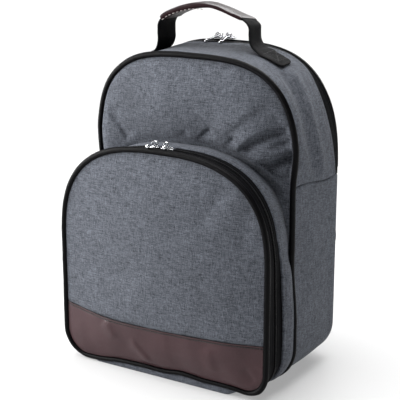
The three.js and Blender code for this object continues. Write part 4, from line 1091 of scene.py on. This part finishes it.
def spline(points, steps=24):
    """Even curve through points, with so many steps to each stretch."""
    points = np.asarray(points, float)
    points = np.vstack([2 * points[0] - points[1], points, 2 * points[-1] - points[-2]])
    t = np.linspace(0, 1, steps, endpoint=False)[:, None]
    made = []
    for a, b, c, d in zip(points, points[1:], points[2:], points[3:]):
        before, here, after = (np.sqrt(np.linalg.norm(q - p)) for p, q in ((a, b), (b, c), (c, d)))
        leave = here * ((b - a) / before - (c - a) / (before + here) + (c - b) / here)
        arrive = here * ((c - b) / here - (d - b) / (here + after) + (d - c) / after)
        made.append(b + leave * t + (3 * (c - b) - 2 * leave - arrive) * t**2 + (2 * (b - c) + leave + arrive) * t**3)
    return np.vstack([*made, points[-2:-1]])


def roof(x, y, lift):
    """Points on the upper band at given X and depth, raised off the cloth."""
    place = np.linspace(0.15, 0.85, 700)
    bare = MAIN.at(*MAIN.over(place), np.full_like(place, y), np.zeros_like(place))[:, 0]
    spot = np.interp(x, bare[::-1], place[::-1])
    depth = np.full_like(spot, y)
    return MAIN.at(*MAIN.over(spot), depth, upper_lift(spot, depth) + lift)


def handle_line():
    left = roof(np.array([-104.0, -92.0, -79.5]), HANDLE_Y, HANDLE_SEAT)
    right = roof(np.array([61.0, 76.0, 91.0]), HANDLE_Y, HANDLE_SEAT)
    loop = [(x, HANDLE_Y, z) for x, z in HANDLE_LOOP]
    return spline(np.vstack([left, loop, right]))


def strap_ring(width, thickness, sides=9):
    """Section of a woven strap with rounded edges, as shares across and heights in mm."""
    half = thickness / 2
    across = np.linspace(-1, 1, sides) * (width / 2 - half)
    turn = np.linspace(0, np.pi, 5)[1:-1]
    right = np.column_stack([width / 2 - half + half * np.sin(turn), half * np.cos(turn)])
    left = np.column_stack([-width / 2 + half - half * np.sin(turn), -half * np.cos(turn)])
    upper = np.column_stack([across, np.full(sides, half)])
    lower = np.column_stack([across[::-1], np.full(sides, -half)])
    return np.vstack([upper, right, lower, left])


HANDLE_LINE = handle_line()
WEBBING = black_tape("black webbing", (0.008, 0.008, 0.009), 0.0016, 0.0011, 0.5, 0.8, 0.0006, 0.1)


def handle_frames(count, start=0.0, end=1.0):
    """Points along the handle's middle line, with the directions off its face."""
    centre = evenly(HANDLE_LINE, count, start, end)
    along = unit(np.gradient(centre, axis=0))
    return centre, np.stack([-along[:, 2], np.zeros(count), along[:, 0]], -1)


def handle_twist(share):
    """Turn of the strap about its own run: its near edge stands up along the falling side."""
    return HANDLE_TWIST * smooth(share, 0.4, 0.58) * (1 - smooth(share, 0.84, 0.9))


def handle_webbing():
    centre, face = handle_frames(150)
    section = strap_ring(HANDLE_WIDTH, HANDLE_THICKNESS)
    share = np.linspace(0, 1, 150)
    to_end = np.minimum(share, 1 - share) * lengths(HANDLE_LINE, 0)[-1]
    rounded = 1 - np.sqrt(np.clip(1 - (1 - to_end / HANDLE_END).clip(0) ** 2, 0, 1))
    narrow = 1 - HANDLE_END / (HANDLE_WIDTH / 2) * rounded
    twist = handle_twist(share)
    on_roof = smooth(share, 0.86, 0.93)
    level = roof(centre[:, 0], HANDLE_Y, HANDLE_SEAT)[:, 2]
    near = 1 - smooth(centre[:, 2] - level, 1, 14)
    rings = []
    for side, height in section:
        side = side * narrow * (1 - 0.26 * on_roof) - 6 * on_roof
        seat = np.array([roof(np.array([x]), HANDLE_Y + s, HANDLE_SEAT)[0, 2] for x, s in zip(centre[:, 0], side)])
        across = np.array([0, 1, 0]) * (side * np.cos(twist) + height * np.sin(twist))[:, None]
        off = face * (height * np.cos(twist) - side * np.sin(twist))[:, None]
        rings.append(centre + across + off + np.array([0, 0, 1]) * (near * (seat - level))[:, None])
    return tube("handle_strap", np.stack(rings, 1))


dress(handle_webbing(), WEBBING, "black_trim", "handle_webbing")

# The grip: a sleeve of the brown leather-look sheet, wrapped round the middle of the webbing over a little padding.
# It is stitched shut along its near edge, and hands have polished its upper side.
GRIP_WIDTH, GRIP_THICKNESS = 43, 7.6
GRIP_FROM, GRIP_TO = 0.27, 0.7
GRIP_SIDES = 48
GRIP_STITCH, GRIP_STITCH_PITCH = (3.8, 1.2, 0.8), 5.5
GRIP_LEATHER = brown_leather("brown leather-look grip", (0.02, 0.007, 0.0085), (0.009, 0.003, 0.004), 0.9, 0.04,
                             polish=0.45)
PALE_THREAD = thread("pale brown thread", (0.5, 0.44, 0.43))


def oval_ring(width, thickness, sides, roundness=0.4):
    """Section of a soft sleeve or pad, as places across and off its middle in mm."""
    turn = (np.arange(sides) + 0.5) / sides * 2 * np.pi
    flat = np.sign(np.stack([np.cos(turn), np.sin(turn)])) * np.abs([np.cos(turn), np.sin(turn)]) ** roundness
    return np.column_stack([flat[0] * width / 2, flat[1] * thickness / 2])


def handle_grip():
    centre, face = handle_frames(120, GRIP_FROM, GRIP_TO)
    section = oval_ring(1, 1, GRIP_SIDES)
    share = np.linspace(0, 1, 120)
    ends = np.minimum(share, 1 - share)
    full = (1 - 0.3 * (1 - smooth(ends, 0, 0.02))) * (1 - 0.3 * smooth(share, 0.4, 0.65))
    twist = handle_twist(GRIP_FROM + (GRIP_TO - GRIP_FROM) * share)[:, None]
    side, height = section[None, :, 0] * GRIP_WIDTH, section[None, :, 1] * GRIP_THICKNESS * full[:, None]
    points = centre[:, None] + (side * np.cos(twist) + height * np.sin(twist))[..., None] * [0, 1, 0]
    points = points + face[:, None] * (height * np.cos(twist) - side * np.sin(twist))[..., None]
    seamed = np.exp(-(((section[:, 0] + 0.43) / 0.02) ** 2))
    ripple = 0.35 * unevenness(points * [1, 0.5, 1], 14, 51)
    points = points + face[:, None] * (np.sign(section[:, 1]) * (ripple - 0.5 * seamed))[..., None]
    made = tube("handle_grip_sleeve", points)
    handled = np.zeros(len(made.data.vertices), np.float32)
    handled[:points.shape[0] * GRIP_SIDES] = np.tile(smooth(section[:, 1], 0.1, 0.42), points.shape[0])
    made.data.attributes.new("handled", "FLOAT", "POINT").data.foreach_set("value", handled)
    return made


def handle_grip_stitches():
    centre, face = handle_frames(90, GRIP_FROM + 0.005, 0.5)
    line = centre + [0, -0.48 * GRIP_WIDTH, 0] - face * (0.38 * GRIP_THICKNESS)
    seam = (line, np.tile([0.0, -1.0, 0.0], (len(line), 1)))
    return row_along("handle_grip_stitches", [seam], GRIP_STITCH_PITCH, GRIP_STITCH, PALE_THREAD)


grip = handle_grip()
dress(grip, GRIP_LEATHER, "brown_leather", "handle_grip")
dress(handle_grip_stitches(), PALE_THREAD, "brown_leather")

# The stitches that hold the handle, in black polyester thread: at each end a box with a cross in it.
# They go through the webbing and the upper band.
BLACK_THREAD = thread("black thread", (0.008, 0.008, 0.009))


def stitched_box(x_from, x_to):
    """Box of stitches with a cross in it, on the strap where it lies on the roof."""
    corners = [(x, HANDLE_Y + y) for x, y in ((x_from, -13), (x_to, -13), (x_to, 13), (x_from, 13), (x_from, -13))]
    runs = list(zip(corners, corners[1:])) + [(corners[0], corners[2]), (corners[1], corners[3])]
    on_strap = HANDLE_SEAT + HANDLE_THICKNESS / 2 + 0.1
    lines = []
    for run in runs:
        spots = evenly(np.array(run, float), 20)
        low, high = (np.vstack([roof(np.array([x]), y, lift) for x, y in spots]) for lift in (on_strap, on_strap + 1))
        lines.append((low, high - low))
    return lines


handle_seams = row_along("handle_end_stitches", stitched_box(-101, -84) + stitched_box(66, 84), STITCH_PITCH, STITCH,
                         BLACK_THREAD)
dress(handle_seams, BLACK_THREAD, "black_trim")

# The back wall lies against the wearer and hides from the photograph: grey cloth over soft padding.
# It is sewn in all round behind the zip and the lower band, and bulges out a little.
BACK_FACE = MAIN_DEPTH + BACK_ROUNDING
BACK_HUB = np.array([0, MAIN_FOOT + 0.48 * (BACK_HEIGHT - MAIN_FOOT)])
BACK_CROWN = 6
BACK_PADDING = 8
SETTLE_FRAMES = 20


def puffed(piece, pinned, pressure, cap):
    """Lets cloth swell over its padding, held at its pinned points and moved by no more than the cap in mm."""
    mesh = piece.data
    rest = np.empty(len(mesh.vertices) * 3, np.float32)
    mesh.vertices.foreach_get("co", rest)
    group = piece.vertex_groups.new(name="sewn")
    group.add(np.flatnonzero(pinned).tolist(), 1.0, "REPLACE")
    cloth = piece.modifiers.new("Cloth", "CLOTH")
    cloth.settings.quality = 5
    cloth.settings.mass = 0.3
    cloth.settings.tension_stiffness = 12
    cloth.settings.compression_stiffness = 12
    cloth.settings.bending_stiffness = 0.6
    cloth.settings.use_pressure = True
    cloth.settings.uniform_pressure_force = pressure
    cloth.settings.vertex_group_mass = "sewn"
    cloth.settings.effector_weights.gravity = 0
    cloth.collision_settings.use_collision = False
    cloth.point_cache.frame_start = 1
    cloth.point_cache.frame_end = SETTLE_FRAMES
    for step in range(1, SETTLE_FRAMES + 1):
        bpy.context.scene.frame_set(step)
    swollen = as_shaped(piece)
    after = np.empty_like(rest)
    swollen.vertices.foreach_get("co", after)
    piece.modifiers.clear()
    piece.vertex_groups.clear()
    move = (after - rest).reshape(-1, 3)
    far = np.linalg.norm(move, axis=1, keepdims=True)
    move *= np.minimum(1, cap / 1000 / np.maximum(far, 1e-9))
    mesh.vertices.foreach_set("co", (rest.reshape(-1, 3) + move).ravel())
    mesh.update()
    bpy.data.meshes.remove(swollen)
    bpy.context.scene.frame_set(1)


def back_wall():
    around = 260
    rim = MAIN_BACK.rim(around, BACK_INSET + 0.3)
    share = np.concatenate([[1, 0.985], np.linspace(0.965, 0.05, 40)])
    flat = BACK_HUB + (rim - BACK_HUB) * share[:, None, None]
    y = BACK_FACE + BACK_CROWN * (1 - share**2.4)[:, None] * np.ones(around)
    points = np.stack([flat[..., 0], y, flat[..., 1]], -1)
    made = wall("back_wall", points, BACK_PADDING, pattern=flat / 1000, loop=True)
    pinned = np.zeros(len(made.data.vertices), bool)
    pinned[:2 * around] = True
    pinned[len(share) * around:] = True
    puffed(made, pinned, 4.0, 5.0)
    return made


back = back_wall()
dress(back, GREY_CLOTH, "grey_cloth", "main_back_panel")

# The shoulder straps, almost hidden from the photograph: padded grey cloth edged with black binding.
# Below, black webbing runs through a moulded plastic adjuster and is sewn in at the bottom corners.
PAD_ROWS = np.array([(44, 5.9, 352, 56, 8), (47, 8.8, 330, 60, 11), (56, 24, 285, 61, 12), (68, 34, 235, 60, 12),
                     (83, 36, 178, 56, 12), (98, 32, 126, 48, 9)], float)
STRAP_ROWS = np.array([(98.4, 31.6, 124.2), (102, 24, 95), (105.5, 11.5, 60), (107.5, 3.4, 42), (108.5, 1.86, 26)])
PAD_SIDES = 44
STRAP_WIDTH, STRAP_THICKNESS = 25, 2
ADJUSTER_FROM, ADJUSTER_TO, ADJUSTER_WIDTH, ADJUSTER_THICKNESS = 0.03, 0.22, 34, 7


def strap_frames(rows, mirror, steps):
    """Middle line of a strap on the back, with the directions across it and off its face."""
    points = np.column_stack([mirror * rows[:, 0], BACK_FACE + rows[:, 1], rows[:, 2]])
    line = spline(points, steps)
    along = unit(np.gradient(line, axis=0))
    across = unit(np.cross([0, 1, 0], along))
    return line, across, np.cross(along, across)


def swept(line, across, face, sections):
    """Rings of points round a line from sections given across and off it."""
    sections = np.broadcast_to(sections, (len(line),) + np.shape(sections)[-2:])
    return line[:, None] + across[:, None] * sections[..., :1] + face[:, None] * sections[..., 1:]


def shoulder_pad(side, mirror):
    line, across, face = strap_frames(PAD_ROWS, mirror, 14)
    share = np.linspace(0, len(PAD_ROWS) - 1, len(line))
    width, thick = (np.interp(share, range(len(PAD_ROWS)), PAD_ROWS[:, i]) for i in (3, 4))
    ends = np.minimum(share, share[-1] - share)
    round_end = 1 - 0.35 * (1 - np.sqrt(np.clip(1 - (1 - ends / 0.35).clip(0) ** 2, 0, 1)))
    section = oval_ring(1, 1, PAD_SIDES)
    sizes = np.stack([width * round_end, thick * (0.55 + 0.45 * smooth(ends, 0, 0.3))], -1)
    pad = tube("shoulder_cushion_" + side, swept(line, across, face, section * sizes[:, None]))
    pinned = np.tile(np.abs(section[:, 0]) > 0.455, len(line))
    pinned[:2 * PAD_SIDES] = True
    pinned[-2 * PAD_SIDES:] = True
    puffed(pad, pinned, 4.0, 2.0)
    edge = sizes[:, 0] / 2 - 1.2
    down = line + across * edge[:, None]
    up = (line - across * edge[:, None])[::-1]
    path = evenly(np.vstack([down, up, down[:1]]), 321)[:-1]
    ahead = unit(np.roll(path, -1, 0) - np.roll(path, 1, 0))
    nearest = np.argmin(np.linalg.norm(path[:, None] - line[None], axis=2), axis=1)
    off = face[nearest]
    outward = unit(np.cross(ahead, off))
    binding = tube("shoulder_binding_" + side, swept(path, outward, off, oval_ring(5.2, 7.2, 14, 0.9)), closed=True)
    return pad, binding


BLACK_BINDING = black_tape("black binding", (0.014, 0.014, 0.015), 0.0009, 0.0006, 0.5, 0.6, 0.0002, 0.2)


def black_plastic():
    """Moulded black plastic with a fine spark-eroded grain."""
    made, tree, shader = blank_finish("black plastic")
    worn = use(tree, HANDLING, on_body(tree), Size=0.006, Amount=0.35)["Value"]
    spark = speckle(tree, on_body(tree), 2500.0, 2.0)
    fill(tree, shader, {
        "Base Color": mixed(tree, worn, (0.01, 0.01, 0.011, 1), (0.02, 0.02, 0.021, 1)),
        "Roughness": calc(tree, "MULTIPLY", worn, 0.4), "Normal": bumped(tree, spark.outputs[0], 0.2, 0.00005)})
    return made


PLASTIC = black_plastic()


def strap_adjuster(side, mirror):
    line, across, face = strap_frames(STRAP_ROWS, mirror, 60)
    start, stop = (int(share * (len(line) - 1)) for share in (ADJUSTER_FROM, ADJUSTER_TO))
    span = slice(start, stop + 1)
    share = np.linspace(0, 1, stop + 1 - start)
    bars = 0.78 + 0.22 * np.abs(np.cos(1.5 * np.pi * share)) ** 0.5
    ends = smooth(np.minimum(share, 1 - share), 0, 0.06)
    sizes = np.stack([ADJUSTER_WIDTH * (0.94 + 0.06 * ends), ADJUSTER_THICKNESS * bars * (0.7 + 0.3 * ends)], -1)
    section = oval_ring(1, 1, 28) * sizes[:, None]
    return tube("adjuster_" + side, swept(line[span], across[span], face[span], section), crisp=35)


for side, mirror in (("left", -1), ("right", 1)):
    pad, binding = shoulder_pad(side, mirror)
    dress(pad, GREY_CLOTH, "grey_cloth", "shoulder_pad_" + side)
    dress(binding, BLACK_BINDING, "black_trim")
    section = strap_ring(STRAP_WIDTH, STRAP_THICKNESS)
    strap = tube("strap_" + side, swept(*strap_frames(STRAP_ROWS, mirror, 16), section))
    dress(strap, WEBBING, "black_trim", "strap_webbing_" + side)
    dress(strap_adjuster(side, mirror), PLASTIC, "black_plastic", "strap_adjuster_" + side)

# The zip sliders: cast chrome bodies that ride on the coils, each with a bail bent over its top.
# On each bail hangs a slender chrome pull with an eye at one end and a ball at the other.
SLIDER_LENGTH, SLIDER_WIDTH, SLIDER_HEIGHT, SLIDER_CORNER = 11, 8.5, 2, 2.4
BAIL_LIFT, BAIL_WIRE, BAIL_SQUARE, BAIL_FLAT = 2.3, 0.8, 0.7, 1.4
PULL_LENGTH, PULL_EYE, PULL_NECK, PULL_TIP, PULL_THICKNESS, PULL_BALL = 20, 3.2, 1.3, 2.3, 1.5, 2.5


def chrome():
    """Chrome plating with a slight haze."""
    made, tree, shader = blank_finish("chrome")
    haze = speckle(tree, on_body(tree), 700.0, 3.0).outputs[0]
    rough = wire(tree, "ShaderNodeMapRange", {0: haze, 1: 0.3, 2: 0.7, 3: 0.1, 4: 0.24})
    fill(tree, shader, {
        "Base Color": mixed(tree, haze, (0.62, 0.63, 0.65, 1), (0.75, 0.76, 0.78, 1)), "Metallic": 1.0,
        "Roughness": rough.outputs[0]})
    return made


CHROME = chrome()


def cast_plate(outlines, thickness, rounding):
    """Flat cast plate of mm outlines, the first round the others, with rounded edges; centred on its thickness."""
    shape = bpy.data.curves.new("plate", "CURVE")
    shape.dimensions = "2D"
    shape.fill_mode = "BOTH"
    shape.extrude = thickness / 2 - rounding
    shape.bevel_depth = rounding
    shape.bevel_resolution = 2
    shape.offset = -rounding
    for outline in outlines:
        run = shape.splines.new("POLY")
        run.points.add(len(outline) - 1)
        for point, (x, y) in zip(run.points, outline):
            point.co = (x, y, 0, 1)
        run.use_cyclic_u = True
    holder = added("plate", shape)
    made = as_shaped(holder)
    bpy.data.objects.remove(holder)
    bpy.data.curves.remove(shape)
    return made


def rounded_outline(half_length, half_width, corner, steps=5):
    """Outline in mm of a plate with rounded corners."""
    turns = [np.linspace(0, np.pi / 2, steps) + i * np.pi / 2 for i in range(4)]
    middles = [(1, 1), (-1, 1), (-1, -1), (1, -1)]
    return [(sx * (half_length - corner) + corner * math.cos(t), sy * (half_width - corner) + corner * math.sin(t))
            for turn, (sx, sy) in zip(turns, middles) for t in turn]


def swept_wire(points, radius, sides=10):
    """Round wire through points in mm that lie in the XZ plane."""
    points = np.asarray(points, float)
    along = unit(np.gradient(points, axis=0))
    normal = np.stack([-along[:, 2], np.zeros(len(points)), along[:, 0]], -1)
    turn = np.arange(sides) / sides * 2 * np.pi
    ring = normal[:, None] * np.cos(turn)[None, :, None] + np.array([0, 1, 0]) * np.sin(turn)[None, :, None]
    return points[:, None] + radius * ring


def joined(name, parts, place):
    """One piece from meshes in mm and their own places, set in its place in the frame."""
    whole = bmesh.new()
    for mesh, local in parts:
        mesh.transform(local)
        whole.from_mesh(mesh)
        bpy.data.meshes.remove(mesh)
    bmesh.ops.remove_doubles(whole, verts=whole.verts, dist=0.0005)
    bmesh.ops.recalc_face_normals(whole, faces=whole.faces)
    bmesh.ops.scale(whole, vec=(0.001, 0.001, 0.001), verts=whole.verts)
    bmesh.ops.transform(whole, matrix=place, verts=whole.verts)
    made = bpy.data.meshes.new(name)
    whole.to_mesh(made)
    whole.free()
    made.shade_smooth()
    made.set_sharp_from_angle(angle=math.radians(40))
    return added(name, made)


def ring_mesh(rings):
    """Bare mesh of an open sweep with closed ends."""
    count = rings.shape[0] * rings.shape[1]
    grid = np.arange(count).reshape(rings.shape[:2])
    grid = np.hstack([grid, grid[:, :1]])
    faces = quads(grid).reshape(-1, 4).tolist() + [grid[0, :-1].tolist(), grid[-1, :-1][::-1].tolist()]
    mesh = bpy.data.meshes.new("wire")
    mesh.from_pydata(rings.reshape(-1, 3).tolist(), [], faces)
    return mesh


def slider_piece(name, place, heading, bail_half, bail_height, nose):
    """Slider body, with its nose reaching to the right, and a bail along it that starts at its left end."""
    plate = rounded_outline((SLIDER_LENGTH + nose) / 2, SLIDER_WIDTH / 2, SLIDER_CORNER)
    upper = cast_plate([plate], SLIDER_HEIGHT, 0.55)
    turn = Matrix.Rotation(heading - math.pi / 2, 4, "Z")
    seat = Matrix.Translation((-nose / 2, 0, -BAIL_LIFT - SLIDER_HEIGHT / 2))
    crest = cast_plate([rounded_outline((SLIDER_LENGTH + nose) / 2 - 1.6, 1.6, 1.2)], 1.4, 0.5)
    ridge = Matrix.Translation((-nose / 2, 0, -BAIL_LIFT + 0.5))
    arc = np.linspace(0, np.pi, 21)
    side, top = np.sign(np.cos(arc)) * np.abs(np.cos(arc)) ** BAIL_SQUARE, np.abs(np.sin(arc)) ** BAIL_SQUARE
    over = np.column_stack([bail_half * side, np.zeros(21), bail_height * top])
    foot = (bail_half, 0, -BAIL_LIFT - 0.6)
    bail = ring_mesh(swept_wire([foot, *over, (-foot[0], *foot[1:])], BAIL_WIRE) * [1, BAIL_FLAT, 1])
    return joined(name, [(upper, turn @ seat), (crest, turn @ ridge), (bail, turn)], place)


def pull_piece(name, place, slope):
    """Pull tab with its eye on the hinge, sloping down along the local X."""
    bar, neck, hole, hole_end = 0.8, 5.8, 1.6, 4.7
    eye = [(neck, PULL_EYE * 0.72), (neck - 1.6, PULL_EYE), (-bar + 1, PULL_EYE), (-bar, PULL_EYE - 1),
           (-bar, 1 - PULL_EYE), (-bar + 1, -PULL_EYE), (neck - 1.6, -PULL_EYE), (neck, -PULL_EYE * 0.72)]
    shank = [(neck + 1.5, -PULL_NECK), (PULL_LENGTH, -PULL_TIP), (PULL_LENGTH, PULL_TIP), (neck + 1.5, PULL_NECK)]
    opening = [(bar, -hole), (bar, hole), (hole_end, hole), (hole_end, -hole)]
    plate = cast_plate([eye + shank, opening], PULL_THICKNESS, 0.4)
    ball = bmesh.new()
    bmesh.ops.create_uvsphere(ball, u_segments=20, v_segments=12, radius=PULL_BALL)
    bead = bpy.data.meshes.new("ball")
    ball.to_mesh(bead)
    ball.free()
    at_end = Matrix.Translation((PULL_LENGTH, 0, 0))
    turn = Matrix.Rotation(slope, 4, "Y")
    return joined(name, [(plate, turn), (bead, turn @ at_end)], place)


ZIP_HARDWARE = {"main_pull_left": (28, 19, 4.6, 2.1, 0), "main_pull_right": (2, 19, 3.4, 2.1, 4),
                "pocket_pull_left": (-10, -5, 4.2, 3.6, 1), "pocket_pull_right": (-30, -6, 3.6, 3.8, 7)}
for joint in frame["joints"]:
    pull = joint["child"]
    heading, slope, *bail = ZIP_HARDWARE[pull]
    heading, slope = math.radians(heading), math.radians(slope)
    axis = Vector(joint["axis"]).normalized()
    up = Vector((-axis.z, 0, axis.x)).normalized()
    up = up if up.z > 0 else -up
    along = (-axis).cross(up)
    place = Matrix((along, up.cross(along), up)).transposed().to_4x4()
    place.translation = Vector(joint["pos_m"])
    slider = pull.replace("pull", "slider")
    dress(slider_piece(slider + "_cast", place, heading, *bail), CHROME, "chrome", slider)
    dress(pull_piece(pull + "_cast", place, slope), CHROME, "chrome", pull, body=pull)

# The studio: a wide pale floor and a paper backdrop right round it, with a large softbox on the left.
# The camera stands where the photograph was taken from.
EYE = Vector((0.7307, -1.1769, 0.5779))
AIM = Vector((0.0140, -0.0364, 0.2074))
LENS = 106.74


def pale_paper(name, glow):
    """White studio paper, faintly lit from behind like a light table."""
    made, tree, shader = blank_finish(name)
    speck = speckle(tree, on_body(tree), 3.0, 2.0).outputs[0]
    fill(tree, shader, {
        "Base Color": mixed(tree, speck, (0.33, 0.33, 0.33, 1), (0.35, 0.35, 0.35, 1)), "Roughness": 0.9,
        "Emission Color": (1, 1, 1, 1), "Emission Strength": glow})
    return made


def studio_paper(name, corners, faces, glow):
    mesh = bpy.data.meshes.new(name)
    mesh.from_pydata(corners, [], faces)
    mesh.materials.append(pale_paper("pale " + name, glow))
    return added(name, mesh)


def backdrop_ring(radius, height, steps=64):
    """Corners and faces of an upright ring that faces inwards."""
    turns = [math.tau * step / steps for step in range(steps)]
    corners = [(radius * math.cos(turn), radius * math.sin(turn), z) for z in (0, height) for turn in turns]
    return corners, [((i + 1) % steps, i, i + steps, (i + 1) % steps + steps) for i in range(steps)]


floor = studio_paper("floor", [(-15, -15, 0), (15, -15, 0), (15, 25, 0), (-15, 25, 0)], [(0, 1, 2, 3)], 0.32)
backdrop = studio_paper("backdrop", *backdrop_ring(13, 9), 1.02)
backdrop.visible_diffuse = False
backdrop.visible_glossy = False
backdrop.visible_transmission = False
backdrop.visible_shadow = False


def aimed(name, data, place, target):
    """Light or camera at a place, turned to a target."""
    made = added(name, data)
    made.location = place
    made.rotation_euler = (Vector(target) - Vector(place)).to_track_quat("-Z", "Y").to_euler()
    return made


def softbox(name, place, target, size, power):
    """Square softbox at a place, turned to a target."""
    light = bpy.data.lights.new(name, "AREA")
    light.energy = power
    light.size = size
    aimed(name, light, place, target).visible_camera = False


def soft_light(name, place, strength, spread):
    """Broad even light that comes from the side a place lies on."""
    light = bpy.data.lights.new(name, "SUN")
    light.energy = strength
    light.angle = math.radians(spread)
    aimed(name, light, place, (0, 0, 0))


softbox("key", (-1.12, -0.56, 0.56), (0.0, -0.06, 0.2), 1.0, 38)
soft_light("top", (-0.1, 0.05, 1.0), 4.9, 50)
soft_light("back", (-0.2, 0.81, 0.56), 2.0, 40)
softbox("right", (0.8, 0.35, 0.15), (0.1, 0.0, 0.1), 0.5, 1.6)
world = bpy.data.worlds.new("studio")
world.use_nodes = True
world.node_tree.nodes["Background"].inputs[0].default_value = (1, 1, 1, 1)
world.node_tree.nodes["Background"].inputs[1].default_value = 0.06
bpy.context.scene.world = world
bpy.context.scene.view_settings.view_transform = "Standard"

camera_data = bpy.data.cameras.new("camera")
camera_data.sensor_width = 36
camera_data.lens = LENS
camera_data.clip_start = 0.05
camera_data.clip_end = 60
bpy.context.scene.camera = aimed("camera", camera_data, EYE, AIM)
